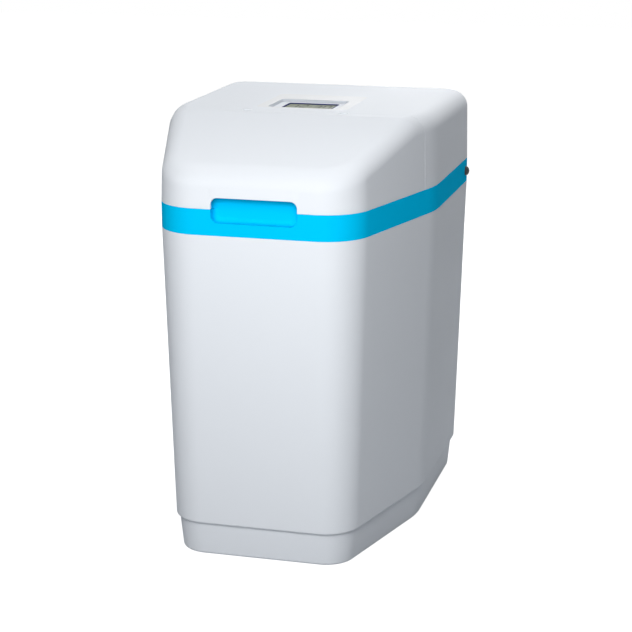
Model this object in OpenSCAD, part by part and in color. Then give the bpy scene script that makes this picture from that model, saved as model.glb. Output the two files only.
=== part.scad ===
// Cabinet water softener: a salt cabinet with a hinged lid, and a resin tank
// with a motor-driven valve under the rear cover. Millimetres, front at -Y,
// origin on the floor under the middle of the casing.

/* [Casing] */
// Width across the straight rear half
casing_w = 334; // [326:1:360]
// Depth from the front face to the back
casing_d = 440; // [430:1:480]
// Width of the front face between its sharp corners
front_w = 224; // [210:1:240]
// Depth of the flared front half
flare_d = 206; // [196:1:220]
// Radius of the front corners
front_r = 54; // [44:1:60]
// Radius of the bend where the flare ends
bend_r = 150; // [90:1:170]
// Radius of the rear corners
rear_r = 36; // [34:1:46]
// Height of the plinth
plinth_h = 40; // [30:1:50]
// Height of the cabinet body above the plinth
body_h = 353; // [330:1:400]
// Height of the coloured band
band_h = 30; // [26:1:40]
// Height of the lid and rear cover above the band
lid_h = 88; // [80:1:100]
// Inset of the plinth top from the band
plinth_inset = 14.3; // [12:0.1:16]
// Further inset at the foot of the plinth
plinth_taper = 3.7; // [2:0.1:6]
// Inset of the cabinet body at its lower edge
body_draft = 10.3; // [6:0.1:12]
// Rounding of the body's lower edge
edge_r = 4; // [2:0.5:6]
// Rounding of the plinth's foot
foot_edge_r = 2; // [1:0.5:4]
// Wall of the cabinet
wall_t = 4; // [3:0.5:5]
// Floor of the cabinet
floor_t = 4; // [3:0.5:8]

/* [Lid and rear cover] */
// Wall of the lid and the rear cover
lid_wall = 3; // [2.5:0.1:4]
// Slope of the salt lid in degrees
lid_slope = 16; // [8:0.5:18]
// Distance from the end of the flare forward to the seam
seam_lead = 30; // [27:1:40]
// Distance from the seam forward to the crease
crease_lead = 21; // [7:0.5:28]
// Gap between the lid and the rear cover
seam_gap = 1; // [0.6:0.1:1.6]
// Width of the rounded shoulder in plan
shoulder_w = 22; // [20:1:30]
// Height of the rounded shoulder
shoulder_h = 21; // [14:1:26]
// Draft of the lid walls
lid_draft = 1.2; // [0.5:0.1:2]
// Gap between the closed lid and the band
lid_rest = 0.6; // [0.3:0.1:1]
// Bevel on the rear edge of the lid
lid_bevel = 1.2; // [1:0.1:1.8]
// Distance of the inner wall of the rear cover behind the seam
bulkhead_back = 4; // [4:0.5:8]
// Distance of the power inlet from the side of the casing
inlet_side = 55; // [46:1:62]
// Radius of the power inlet
inlet_r = 7; // [5:0.5:8]

/* [Hinge] */
// Distance of the hinge axis in front of the seam
hinge_lead = 6.5; // [6:0.1:7]
// Depth of the hinge axis below the top
hinge_drop = 4; // [4:0.1:4.5]
// Distance of each knuckle from the middle
hinge_x = 60; // [50:1:80]
// Radius of the hinge pins
pin_r = 2; // [1.5:0.1:2.2]
// Radius of the knuckles on the rear cover
knuckle_r = 3.9; // [3.4:0.1:4]
// Width of the knuckles
knuckle_w = 10; // [8:0.5:14]
// Width of each ear of the lid
ear_w = 8; // [6:0.5:12]
// Gap between ears and knuckles
ear_gap = 0.5; // [0.3:0.1:1]

/* [Band] */
// Gap from the outer face to the inside of the lid lip
lip_inset = 5.4; // [5:0.1:6]
// Thickness of the lip and the skirt of the band
lip_t = 2.8; // [2:0.1:4]
// Height of the lip above the band
lip_h = 8; // [5:0.5:10]
// Depth of the skirt inside the cabinet
skirt_h = 12; // [8:0.5:20]
// Width of the finger pull
pull_w = 101; // [80:1:110]
// Height of the finger pull below the top of the band
pull_h = 15.6; // [12:0.1:20]
// Height of the cut-out in the lid above the band
pull_cut = 13.5; // [8:0.5:16]
// Depth of the finger pull
pull_depth = 13; // [10:0.5:18]
// Corner radius of the finger pull
pull_r = 9; // [4:0.5:10]
// Height of the back wall of the finger pull above the band
pull_rise = 11; // [6:0.5:12]
// Wall of the finger pull
pull_t = 3; // [2:0.5:4]
// Radius of the overflow hole in the band
overflow_r = 4.5; // [4:0.1:5]
// Distance of the overflow hole in front of the back
overflow_back = 43.4; // [40:0.1:60]
// Height of the dome of the overflow plug
overflow_dome = 5; // [3:0.5:6]
// Overhang of the plug's head round the hole
overflow_rim = 1.5; // [1:0.1:3]

/* [Control panel] */
// Width of the panel overlay
overlay_w = 114; // [104:1:130]
// Length of the panel overlay
overlay_l = 116; // [104:1:130]
// Thickness of the panel overlay
overlay_t = 0.5; // [0.4:0.1:1]
// Distance of the overlay behind the seam
overlay_back = 22; // [18:1:30]
// Width of the recess for keys and display
recess_w = 86; // [80:1:96]
// Length of the recess
recess_l = 68; // [64:1:76]
// Depth of the recess
recess_d = 3.3; // [2:0.1:4]
// Margin from the overlay's front edge to the recess
recess_lead = 5; // [3:0.5:10]
// Corner radius of the panel
panel_r = 6; // [4:0.5:10]
// Width of the display window
window_w = 64; // [56:1:70]
// Length of the display window
window_l = 40; // [30:1:42]
// Distance of the window from the rear of the recess
window_back = 7; // [5:0.5:10]
// Depth of the display window below the recess
window_sink = 1.2; // [0.6:0.1:4]
// Thickness of the tray under the recess
tray_t = 5.2; // [4.6:0.1:8]
// Margin of the tray round the recess
tray_rim = 7; // [6:0.5:12]
// Depth of the control box
box_h = 17.5; // [16:0.5:22]
// Wall of the control box
box_t = 2; // [1.5:0.1:3]
// Radius of the keys
key_r = 4.2; // [3:0.1:4.6]
// Pitch of the keys
key_pitch = 18; // [14:0.5:20]
// Distance of the keys from the front of the recess
key_lead = 10.5; // [8:0.5:12]
// Height of the keys above the recess floor
key_rise = 1; // [0.9:0.1:2]
// Travel of the keys
key_travel = 0.8; // [0.4:0.1:0.8]

/* [Resin tank] */
// Radius of the resin tank
tank_r = 86; // [70:1:90]
// Wall of the resin tank
tank_wall = 4; // [3:0.5:6]
// Radius of the tank neck
neck_r = 31; // [30:0.5:34]
// Radius of the bore of the neck
neck_bore = 24; // [22:0.5:26]
// Height of the rounded tank base
base_dome = 46; // [30:1:60]
// Height of the rounded tank shoulder
top_dome = 48; // [30:1:60]
// Height of the neck above the shoulder
neck_h = 24; // [20:1:30]
// Height of the resin bed
bed_h = 204; // [120:1:220]
// Radius of the riser tube
riser_r = 13; // [10:0.5:15]
// Wall of the riser tube
riser_wall = 2; // [1.5:0.1:3]
// Thickness of the floor of the tank foot
foot_floor = 8; // [6:0.5:12]
// Wall of the tank foot
foot_t = 2.2; // [2:0.1:4]
// Gap between the tank foot and the back of the cabinet
foot_gap = 4.5; // [2:0.5:8]

/* [Valve and drive] */
// Height of the valve body
valve_h = 100; // [96:1:110]
// Radius of the valve chamber
chamber_r = 33; // [32:0.5:36]
// Radius of the flange on the valve body
flange_r = 38; // [37:0.5:42]
// Thickness of the flanges
flange_t = 8; // [6:0.5:10]
// Radius of the rotor cavity
cavity_r = 26; // [24:0.5:28]
// Depth of the rotor cavity
cavity_h = 32; // [30:0.5:36]
// Thickness of the bonnet
bonnet_t = 4; // [3:0.5:6]
// Radius of the valve spindle
spindle_r = 4; // [3:0.1:5]
// Thickness of each valve disc
disc_t = 6; // [4:0.5:7]
// Distance of the ports below the valve top
port_drop = 18; // [17:0.5:20]
// Distance of each port from the middle
port_x = 30; // [28:0.5:34]
// Radius of the port bosses
boss_r = 16.5; // [15.5:0.1:17]
// Length of the port bosses behind the tank axis
boss_l = 67; // [60:1:80]
// Radius of the pipe thread on the connectors
thread_r = 13.2; // [12:0.1:14]
// Bore of the connectors
pipe_bore = 9.5; // [8.5:0.1:10]
// Length of the connectors behind the casing
pipe_proud = 28; // [20:1:40]
// Radius of the drain barb
drain_r = 6.5; // [5:0.1:7]
// Bore of the drain barb
drain_bore = 4; // [3:0.1:4.5]
// Distance of the drain from the middle
drain_x = 72; // [68:1:80]
// Length of the drain barb behind the casing
drain_proud = 22; // [16:1:30]
// Gear module
gear_m = 1.2; // [1:0.05:1.3]
// Teeth on the drive gear
gear_teeth = 45; // [39:2:45]
// Teeth on the motor pinion
pinion_teeth = 15; // [13:2:17]
// Face width of the gears
gear_h = 6; // [4:0.5:8]
// Play between the flanks of the teeth
gear_play = 0.36; // [0.3:0.01:0.5]
// Clear space above and below the drive gear
gear_gap = 3; // [3:0.5:5]
// Thickness of the drive plate
plate_t = 2.5; // [2:0.1:4]
// Radius of the drive motor
motor_r = 18; // [14:0.5:20]
// Height of the drive motor
motor_h = 19.5; // [14:0.5:22]
// Clear space above the drive motor
motor_gap = 8; // [4:0.5:10]
// Angle of the motor round the tank axis, 90 behind it
motor_turn = 90; // [60:5:120]
// Radius of the motor shaft
shaft_r = 2.5; // [2:0.1:3]

/* [Brine system] */
// Radius of the brine well
well_r = 36; // [32:0.5:40]
// Wall of the brine well
well_t = 2.5; // [2:0.1:4]
// Gap between the brine well and the cabinet wall
well_gap = 4; // [3:0.5:8]
// Distance of the well in front of the end of the flare
well_lead = 4; // [0:1:20]
// Distance of the well top below the band
well_drop = 21; // [14:1:40]
// Radius of the brine standpipe
stand_r = 5; // [4:0.1:6]
// Radius of the brine float
float_r = 26; // [20:0.5:29]
// Height of the brine float
float_h = 50; // [30:1:60]
// Lift of the brine float
float_lift = 60; // [30:1:80]
// Height of the float stop above the floor
float_stop = 56; // [30:1:80]
// Outer diameter of the brine line
line_d = 9.5; // [8:0.1:10]
// Height of the salt grid above the floor
grid_h = 54; // [40:1:80]
// Thickness of the salt grid
grid_t = 4; // [3:0.5:6]
// Width of the slots in the salt grid
slot_w = 5; // [3:0.5:8]
// Length of the slots
slot_l = 56; // [40:1:60]
// Pitch of the slots
slot_pitch = 14; // [12:0.5:16]
// Slots in each row
slot_count = 7; // [3:1:7]
// Gap between the grid and the cabinet
grid_gap = 1; // [0.5:0.1:2]
// Gap between the grid and the tank foot
grid_back = 6; // [4:0.5:10]

/* [Clearances] */
// Clearance of running fits
run_gap = 0.05; // [0.03:0.01:0.08]
// Clearance of pushed-together fits
fit_gap = 0.2; // [0.1:0.05:0.4]
// Clearance of loosely placed pieces
loose_gap = 0.4; // [0.3:0.1:0.8]

/* [Hidden] */
$fn = 64;

// Overlap that makes joined shapes one solid, and overshoot of cuts
weld = 0.5;
past = 1;

// Casing levels and planes
half_w = casing_w / 2;
half_f = front_w / 2;
y_front = -casing_d / 2;
y_rear = casing_d / 2;
flare = atan((half_w - half_f) / flare_d);
z_body = plinth_h + body_h;
z_band = z_body + band_h;
z_top = z_band + lid_h;
seam_y = y_front + flare_d - seam_lead;
crease_y = seam_y - crease_lead;
floor_inset = plinth_inset + plinth_taper + wall_t;
hinge_y = seam_y - hinge_lead;
hinge_z = z_top - hinge_drop;
band_in = lip_inset + lip_t;
inlet_x = half_w - inlet_side;
inlet_rim = 2;
inlet_up = 2;

// Control panel
overlay_y = seam_y + overlay_back + overlay_l / 2;
recess_y0 = seam_y + overlay_back + recess_lead;
recess_y = recess_y0 + recess_l / 2;
window_y = recess_y0 + recess_l - window_back - window_l / 2;
recess_z = z_top - recess_d;
tray_z = recess_z - tray_t;
tray_w = recess_w + 2 * tray_rim;
tray_l = recess_l + 2 * tray_rim;
window_z = recess_z - window_sink;
lens_t = 1.5;
key_y = recess_y0 + key_lead;
key_flange_t = 1.2;
key_flange_z = tray_z - loose_gap - key_flange_t;
box_z = tray_z - box_h;
board_t = 1.6;
board_gap = 3.4;
board_z = box_z + box_t + board_gap;
board_top = board_z + board_t;
switch_h = 3.5;
key_foot_z = board_top + switch_h + key_travel + fit_gap;

// Valve stack, from the top of the motor down to the neck of the tank
motor_z = z_top - lid_wall - motor_gap - motor_h;
plate_z = motor_z - plate_t;
gear_z = plate_z - gear_gap - gear_h;
bonnet_z = gear_z - gear_gap - bonnet_t;
valve_z = bonnet_z - valve_h;
port_z = bonnet_z - port_drop;
drain_drop = 6;
drain_z = port_z - drain_drop;
cavity_z = bonnet_z - cavity_h;
disc_z = cavity_z + disc_t + fit_gap / 2;
gear_r = gear_m * gear_teeth / 2;
pinion_r = gear_m * pinion_teeth / 2;
motor_x = gear_r + pinion_r;
post_r = 3;
post_ring = flange_r - post_r - 1;
screw_r = 1.6;
screw_head_r = 3.2;
screw_head_h = 2.2;
screw_l = 14;
hex_r = spindle_r * 1.1;
side_boss_r = 9;
side_boss_x = port_x + boss_r + 1.5;
injector_up = 38;
injector_z = valve_z + injector_up;
injector_l = 18;

// Resin tank
foot_r = tank_r + loose_gap + foot_t;
tank_y = y_rear - floor_inset - foot_r - foot_gap;
tank_z = floor_t + foot_floor;
basket_wide = 13;
basket_gap = 1;
basket_r = riser_r + basket_wide;
tank_flat = basket_r + basket_gap;
tank_low = tank_z + base_dome;
tank_high = valve_z - neck_h - top_dome;
plug_l = 16;
riser_in = 14;
socket_l = 17;
socket_z = tank_low - socket_l;
port_y = tank_y + boss_l;
pipe_y = y_rear + pipe_proud;

// Brine system
well_y = y_front + flare_d - well_lead;
well_x = flare_x(well_y, floor_inset + well_gap + well_r);
well_z = z_body - well_drop;
stand_proud = 12;
stand_z = well_z + stand_proud;
grid_z = floor_t + grid_h;
slot_rows = 2;
slot_rib = 14;
slot_lead = 30;
leg_r = 5;
leg_lead = 41.5;
leg_front = 56;
leg_rear = 90;
float_z = floor_t + float_stop + loose_gap;

white = [0.93, 0.94, 0.96];
cyan = [0.0, 0.72, 0.95];
grey = [0.55, 0.57, 0.6];
black = [0.1, 0.1, 0.11];
rubber = [0.13, 0.13, 0.14];
steel = [0.72, 0.73, 0.75];
acetal = [0.9, 0.9, 0.86];

// Plan of the casing

// Half width of the flared side at depth y, inset by d
function flare_x(y, d) = half_f - d / cos(flare) + (y - y_front) * tan(flare);

// Depth at which the flare inset by d meets the straight side
function bend_y(d) = y_front + (half_w - d - half_f + d / cos(flare)) / tan(flare);

// Sharp corners of the plan, inset by d, anticlockwise from the front left
function corners(d) =
    let (fx = flare_x(y_front + d, d), sx = half_w - d)
    [[-fx, y_front + d], [fx, y_front + d], [sx, bend_y(d)],
     [sx, y_rear - d], [-sx, y_rear - d], [-sx, bend_y(d)]];

function unit(v) = v / norm(v);

// Arc of n steps that rounds the corner b between a and c
function fillet(a, b, c, r, n) =
    let (u = unit(a - b), v = unit(c - b), half = acos(u * v) / 2,
         m = b + unit(u + v) * r / sin(half),
         s = b + u * r / tan(half) - m, a0 = atan2(s.y, s.x))
    [for (i = [0:n]) let (t = a0 + (180 - 2 * half) * i / n) m + r * [cos(t), sin(t)]];

front_steps = 8;
bend_steps = 3;
rear_steps = 6;

// Rounded plan inset by d, with a point on each flared side at the crease
function outline(d) =
    let (p = corners(d), cx = flare_x(crease_y, d),
         fr = max(front_r - d, 1), br = bend_r - d, rr = max(rear_r - d, 1))
    concat([[-cx, crease_y]],
        fillet(p[5], p[0], p[1], fr, front_steps),
        fillet(p[0], p[1], p[2], fr, front_steps),
        [[cx, crease_y]],
        fillet(p[1], p[2], p[3], br, bend_steps),
        fillet(p[2], p[3], p[4], rr, rear_steps),
        fillet(p[3], p[4], p[5], rr, rear_steps),
        fillet(p[4], p[5], p[0], br, bend_steps));

// Number of plan points up to the crease on the right
crease_n = 2 * (front_steps + 1) + 1;

function flat_ring(d, z) = [for (p = outline(d)) [p.x, p.y, z]];

// Height of the lid and cover at depth y
function top_z(y) = z_top - max(0, crease_y - y) * tan(lid_slope);

// Ring of the rounded shoulder, phi from 0 at the wall to 90 at the top
function shoulder_ring(inset, phi) =
    [for (p = outline(inset + lid_draft + shoulder_w * (1 - cos(phi))))
        [p.x, p.y, top_z(p.y) - inset - shoulder_h * (1 - sin(phi))]];

shoulder_steps = 5;

// Rings from the foot of the lid wall at height z to the top, inset by d
function dome_rings(d, z) =
    concat([flat_ring(d, z)],
        [for (i = [0:shoulder_steps]) shoulder_ring(d, 90 * i / shoulder_steps)]);

function reversed(v) = [for (i = [len(v) - 1:-1:0]) v[i]];

// Solid through a chain of rings, closed at both ends along the crease
module loft(rings) {
    n = len(rings[0]);
    last = (len(rings) - 1) * n;
    side = [for (i = [0:len(rings) - 2]) for (j = [0:n - 1])
        let (a = i * n + j, b = i * n + (j + 1) % n)
        each [[a, a + n, b + n], [a, b + n, b]]];
    caps = [[for (j = [0:crease_n]) j], concat([for (j = [crease_n:n - 1]) j], [0])];
    tops = [for (cap = caps) reversed([for (j = cap) j + last])];
    polyhedron([for (r = rings) each r], concat(side, caps, tops), convexity = 6);
}

// Hollow lid and cover shape that stands on height z
module dome_shell(z) {
    loft(concat(reversed(dome_rings(lid_wall, z)), dome_rings(0, z)));
}

// Upright ring between the insets d0 and d1
module plan_ring(d0, d1, h) {
    linear_extrude(h) difference() {
        polygon(outline(d0));
        polygon(outline(d1));
    }
}

// Plan shapes

// Rectangle with rounded corners, centred
function rounded(w, l, r) =
    let (x = w / 2, y = l / 2, p = [[-x, -y], [x, -y], [x, y], [-x, y]])
    [for (i = [0:3]) each fillet(p[(i + 3) % 4], p[i], p[(i + 1) % 4], r, 6)];

module plate(w, l, h, r) {
    linear_extrude(h) polygon(rounded(w, l, r));
}

// Upright rounded opening from z0 to z1 that runs from y by depth
module doorway(w, z0, z1, r, y, depth) {
    translate([0, y + depth, (z0 + z1) / 2]) rotate([90, 0, 0])
        plate(w, z1 - z0, depth, r);
}

module ring(r_out, r_in, h) {
    difference() {
        cylinder(r = r_out, h = h);
        translate([0, 0, -past]) cylinder(r = r_in, h = h + 2 * past);
    }
}

module seal(r, section) {
    rotate_extrude() translate([r, 0]) circle(r = section, $fn = 24);
}

module along_x() {
    rotate([0, 90, 0]) children();
}

module along_y() {
    rotate([-90, 0, 0]) children();
}

// Casing

module cabinet() {
    foot = plinth_inset + plinth_taper;
    bevel = edge_r * 0.3;
    color(white) loft([
        flat_ring(foot + foot_edge_r, 0),
        flat_ring(foot, foot_edge_r),
        flat_ring(plinth_inset, plinth_h),
        flat_ring(body_draft + bevel, plinth_h + bevel),
        flat_ring(body_draft, plinth_h + edge_r),
        flat_ring(0, z_body),
        flat_ring(wall_t, z_body),
        flat_ring(body_draft + wall_t, plinth_h + edge_r),
        flat_ring(plinth_inset + wall_t, plinth_h),
        flat_ring(floor_inset, floor_t)]);
}

module pull_profile(grow, top) {
    z0 = z_band - pull_h - grow;
    translate([0, (z0 + top) / 2]) polygon(rounded(pull_w + 2 * grow, top - z0, pull_r + grow));
}

module collar_frame() {
    color(cyan) difference() {
        union() {
            translate([0, 0, z_body]) plan_ring(0, band_in, band_h);
            translate([0, 0, z_body - skirt_h])
                plan_ring(lip_inset, band_in, skirt_h + band_h + lip_h);
        }
        translate([0, y_front + band_in + past, 0]) rotate([90, 0, 0])
            linear_extrude(band_in + 2 * past)
                pull_profile(pull_t + fit_gap, z_band + lip_h + 3 * pull_r);
        translate([-(drain_x + boss_r), y_rear - band_in - past, z_band])
            cube([2 * (drain_x + boss_r), band_in + past, lip_h + past]);
        translate([half_w - band_in - past, y_rear - overflow_back, z_body + band_h / 2])
            along_x() cylinder(r = overflow_r, h = band_in + 2 * past);
    }
}

// Dished insert for the fingers, flush with the band
module finger_pull() {
    pull_top = z_band + pull_rise;
    pull_back = pull_depth + pull_t;
    color(cyan) translate([0, y_front + pull_back, 0]) rotate([90, 0, 0]) difference() {
        union() {
            intersection() {
                linear_extrude(pull_back) pull_profile(pull_t, pull_top);
                translate([-half_w, z_body, 0]) cube([casing_w, band_h, pull_back]);
            }
            linear_extrude(pull_t) pull_profile(pull_t, pull_top);
        }
        translate([0, 0, pull_t]) linear_extrude(pull_depth + past)
            pull_profile(0, pull_top + 3 * pull_r);
    }
}

// Rubber plug that closes the overflow hole
module overflow_plug() {
    stem_r = overflow_r - run_gap;
    head_r = overflow_r + overflow_rim;
    in_x = band_in + overflow_rim;
    dome_steps = 8;
    color(rubber) translate([half_w, y_rear - overflow_back, z_body + band_h / 2]) along_x()
        rotate_extrude() polygon(concat(
            [[0, -in_x], [head_r, -in_x], [head_r, -band_in], [stem_r, -band_in], [stem_r, 0]],
            [for (i = [0:dome_steps]) let (t = 90 * i / dome_steps)
                [head_r * cos(t), overflow_dome * sin(t)]]));
}

// Hinge places: each knuckle of the cover sits between two ears of the lid
module at_hinges() {
    for (side = [-1, 1])
        translate([side * hinge_x, hinge_y, hinge_z]) children();
}

module salt_lid() {
    notch_w = knuckle_w + 2 * ear_gap;
    span = notch_w + 2 * ear_w;
    notch_y = knuckle_r + 1;
    ear_r = knuckle_r + 0.1;
    color(white) difference() {
        union() {
            intersection() {
                dome_shell(z_band + lid_rest);
                translate([-casing_w, y_front - past, z_band])
                    cube([2 * casing_w, seam_y - seam_gap / 2 - y_front + past, lid_h + past]);
            }
            at_hinges() translate([-span / 2, -ear_r, -ear_r])
                cube([span, 2 * ear_r, hinge_drop - lid_wall + ear_r + weld]);
        }
        doorway(pull_w, z_band - 2 * pull_r, z_band + pull_cut, pull_r - 1, y_front - past,
            lid_wall + lid_draft + 2 * past);
        at_hinges() translate([-notch_w / 2, -notch_y, -2 * knuckle_r])
            cube([notch_w, notch_y + hinge_lead + past, 4 * knuckle_r]);
        at_hinges() translate([-span / 2 - past, 0, 0])
            along_x() cylinder(r = pin_r + run_gap, h = span + 2 * past);
        translate([0, seam_y - seam_gap / 2, z_top]) rotate([45, 0, 0])
            cube([2 * casing_w, lid_bevel * sqrt(2), lid_bevel * sqrt(2)], center = true);
    }
}

module hinge_pins() {
    pin_l = knuckle_w + 2 * ear_gap + 2 * ear_w;
    color(steel) at_hinges() translate([-pin_l / 2, 0, 0]) along_x() cylinder(r = pin_r, h = pin_l);
}

module rear_cover() {
    bulkhead_y = seam_y + bulkhead_back;
    arm_h = 0.77 * knuckle_r;
    pipe_side = 4;
    pipe_over = 5.5;
    window_r = 1.5;
    color(white) difference() {
        union() {
            intersection() {
                dome_shell(z_band);
                translate([-casing_w, seam_y + seam_gap / 2, z_band - past])
                    cube([2 * casing_w, casing_d, lid_h + 2 * past]);
            }
            intersection() {
                loft(dome_rings(lid_wall - weld, z_band));
                translate([-casing_w, bulkhead_y, z_band + lip_h + past])
                    cube([2 * casing_w, lid_wall, lid_h]);
            }
            translate([0, recess_y, tray_z])
                plate(tray_w, tray_l, z_top - lid_wall + weld - tray_z, panel_r);
            at_hinges() translate([-knuckle_w / 2, 0, 0]) along_x()
                cylinder(r = knuckle_r, h = knuckle_w);
            at_hinges() translate([-knuckle_w / 2, 0, -arm_h])
                cube([knuckle_w, hinge_lead + bulkhead_back + weld, 2 * arm_h]);
        }
        translate([0, overlay_y, z_top - overlay_t])
            plate(overlay_w, overlay_l, overlay_t + past, panel_r);
        translate([0, recess_y, recess_z]) plate(recess_w, recess_l, recess_d + past, panel_r);
        translate([0, window_y, tray_z - past])
            plate(window_w, window_l, tray_t + 2 * past, window_r);
        for (i = [0:3])
            translate([key_x(i), key_y, tray_z - past])
                cylinder(r = key_r + run_gap, h = tray_t + 2 * past);
        doorway(2 * (drain_x + boss_r + pipe_side), z_band - 2 * panel_r,
            port_z + boss_r + pipe_over, panel_r,
            y_rear - lid_wall - lid_draft - 3 * past, lid_wall + lid_draft + 4 * past);
        at_hinges() translate([-knuckle_w / 2 - past, 0, 0]) along_x()
            cylinder(r = pin_r + run_gap / 2, h = knuckle_w + 2 * past);
        translate([inlet_x, y_rear - lid_wall - lid_draft - 2 * past, port_z + inlet_up]) along_y()
            cylinder(r = inlet_r + run_gap, h = lid_wall + lid_draft + 4 * past);
    }
}

module power_inlet() {
    flange_h = 2;
    barrel_in = 10;
    jack_r = 3.4;
    contact_r = 1.1;
    depth = lid_wall + lid_draft + barrel_in;
    color(black) translate([inlet_x, y_rear, port_z + inlet_up]) along_y() difference() {
        union() {
            cylinder(r = inlet_r + inlet_rim, h = flange_h);
            translate([0, 0, -depth]) cylinder(r = inlet_r, h = depth + weld);
        }
        translate([0, 0, -depth / 2]) ring(jack_r, contact_r, depth);
    }
}

// Control panel

function key_x(i) = (i - 1.5) * key_pitch;

module panel_overlay() {
    color([0.88, 0.89, 0.9]) translate([0, 0, z_top - overlay_t]) linear_extrude(overlay_t)
        difference() {
            translate([0, overlay_y])
                polygon(rounded(overlay_w - fit_gap, overlay_l - fit_gap, panel_r));
            translate([0, recess_y]) polygon(rounded(recess_w, recess_l, panel_r));
        }
}

module display_window() {
    rim = 2;
    window_r = 1.5;
    color([0.1, 0.14, 0.2, 0.6]) translate([0, window_y, 0]) {
        translate([0, 0, tray_z - lens_t])
            plate(window_w + 2 * rim, window_l + 2 * rim, lens_t, rim);
        translate([0, 0, tray_z - weld])
            plate(window_w - fit_gap, window_l - fit_gap, window_z - tray_z + weld, window_r);
    }
}

module lcd_module() {
    lcd_h = tray_z - lens_t - fit_gap - board_top;
    side_rim = 2;
    end_rim = 1.5;
    corner_r = 1;
    bezel_h = 0.6;
    glass_end = 1;
    color([0.62, 0.68, 0.62]) translate([0, window_y, board_top]) difference() {
        plate(window_w + 2 * side_rim, window_l + 2 * end_rim, lcd_h, corner_r);
        translate([0, 0, lcd_h - bezel_h])
            plate(window_w, window_l - 2 * glass_end, bezel_h + past, corner_r);
    }
}

module control_board() {
    inner_w = tray_w - 2 * box_t - 2 * loose_gap;
    inner_l = tray_l - 2 * box_t - 2 * loose_gap;
    switch_w = 6;
    button_r = 1.6;
    button_h = 1;
    color("darkgreen") {
        translate([0, recess_y, board_z]) plate(inner_w, inner_l, board_t, panel_r - box_t);
        for (i = [0:3])
            translate([key_x(i), key_y, board_top - weld]) {
                translate([-switch_w / 2, -switch_w / 2, 0])
                    cube([switch_w, switch_w, switch_h - button_h + weld]);
                cylinder(r = button_r, h = switch_h + weld);
            }
    }
}

module control_box() {
    board_post_r = 3;
    post_in = 5;
    post_x = tray_w / 2 - box_t - post_in;
    post_y = tray_l / 2 - box_t - post_in;
    color(grey) translate([0, recess_y, box_z]) {
        difference() {
            plate(tray_w, tray_l, box_h, panel_r);
            translate([0, 0, box_t])
                plate(tray_w - 2 * box_t, tray_l - 2 * box_t, box_h, panel_r - box_t);
        }
        for (x = [-1, 1], y = [-1, 1])
            translate([x * post_x, y * post_y, box_t - weld])
                cylinder(r = board_post_r, h = board_gap + weld);
    }
}

// Push key: round cap through the tray, flange below it and a foot over the switch
module key(i) {
    foot = 1.8;
    flange = key_r + 1.4;
    bevel = 0.5;
    dish = 0.3;
    top = recess_z + key_rise;
    color([0.75, 0.78, 0.82]) translate([key_x(i), key_y, 0]) rotate_extrude() polygon([
        [0, key_foot_z], [foot, key_foot_z], [foot, key_flange_z], [flange, key_flange_z],
        [flange, key_flange_z + key_flange_t], [key_r, key_flange_z + key_flange_t],
        [key_r, top - bevel], [key_r - bevel, top], [0, top - dish]]);
}

module key_menu() { key(0); }

module key_down() { key(1); }

module key_up() { key(2); }

module key_set() { key(3); }

// Resin tank

module at_tank(z) {
    translate([0, tank_y, z]) children();
}

dome_steps = 8;

// Quarter of an ellipse round (r, z), a wide and b high, from angle t0 to t1
function ellipse_arc(r, z, a, b, t0, t1) =
    [for (i = [0:dome_steps]) let (t = t0 + (t1 - t0) * i / dome_steps)
        [r + a * cos(t), z + b * sin(t)]];

module resin_tank() {
    a = tank_r - tank_wall;
    color([0.25, 0.3, 0.38]) at_tank(0) rotate_extrude($fn = 96) polygon(concat(
        [[0, tank_z]],
        ellipse_arc(tank_flat, tank_low, tank_r - tank_flat, base_dome, -90, 0),
        ellipse_arc(neck_r, tank_high, tank_r - neck_r, top_dome, 0, 90),
        [[neck_r, valve_z], [neck_bore, valve_z]],
        ellipse_arc(neck_bore, tank_high, a - neck_bore, top_dome - tank_wall, 90, 0),
        ellipse_arc(tank_flat, tank_low, a - tank_flat, base_dome - tank_wall, 0, -90),
        [[0, tank_z + tank_wall]]));
}

module tank_foot() {
    color(black) at_tank(floor_t) difference() {
        cylinder(r = foot_r, h = foot_floor + base_dome + 4);
        translate([0, 0, foot_floor]) cylinder(r = foot_r - foot_t, h = base_dome + 10);
    }
}

module resin_bed() {
    color([0.75, 0.45, 0.15]) at_tank(tank_low)
        ring(tank_r - tank_wall - loose_gap, riser_r + loose_gap, bed_h);
}

module riser_tube() {
    top = valve_z + riser_in;
    color(white) at_tank(socket_z + fit_gap)
        ring(riser_r, riser_r - riser_wall, top - socket_z - fit_gap);
}

module bottom_distributor() {
    low = tank_z + tank_wall + fit_gap;
    slots = 16;
    slot_t = 2;
    slot_deep = 7;
    sill = 4;
    color(acetal) at_tank(0) difference() {
        translate([0, 0, low]) cylinder(r = basket_r, h = tank_low - low - fit_gap);
        translate([0, 0, socket_z]) cylinder(r = riser_r + fit_gap, h = tank_low);
        translate([0, 0, low + sill])
            cylinder(r = riser_r - riser_wall, h = tank_low);
        for (i = [0:slots - 1])
            rotate(i * 360 / slots) translate([basket_r - slot_deep, -slot_t / 2, low + sill])
                cube([basket_r, slot_t, socket_z - low - 2 * sill]);
    }
}

module top_distributor() {
    length = 28;
    slots = 12;
    color(acetal) at_tank(valve_z - plug_l - length) difference() {
        ring(neck_bore - 2, riser_r + loose_gap, length);
        for (i = [0:slots - 1])
            rotate(i * 360 / slots) translate([riser_r + 4, -1, 5])
                cube([neck_bore, 2, length - 10]);
    }
}

seal_section = 1.7;
seal_ring = (neck_bore + neck_r) / 2;

module neck_seal() {
    color(rubber) at_tank(valve_z + seal_section + fit_gap) seal(seal_ring, seal_section);
}

// Valve

module at_ports() {
    for (side = [-1, 1])
        translate([side * port_x, 0, port_z]) children();
}

spigot_l = 14;
spigot_r = thread_r - 1;
groove_d = 1.4;
groove_l = 3;

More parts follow.
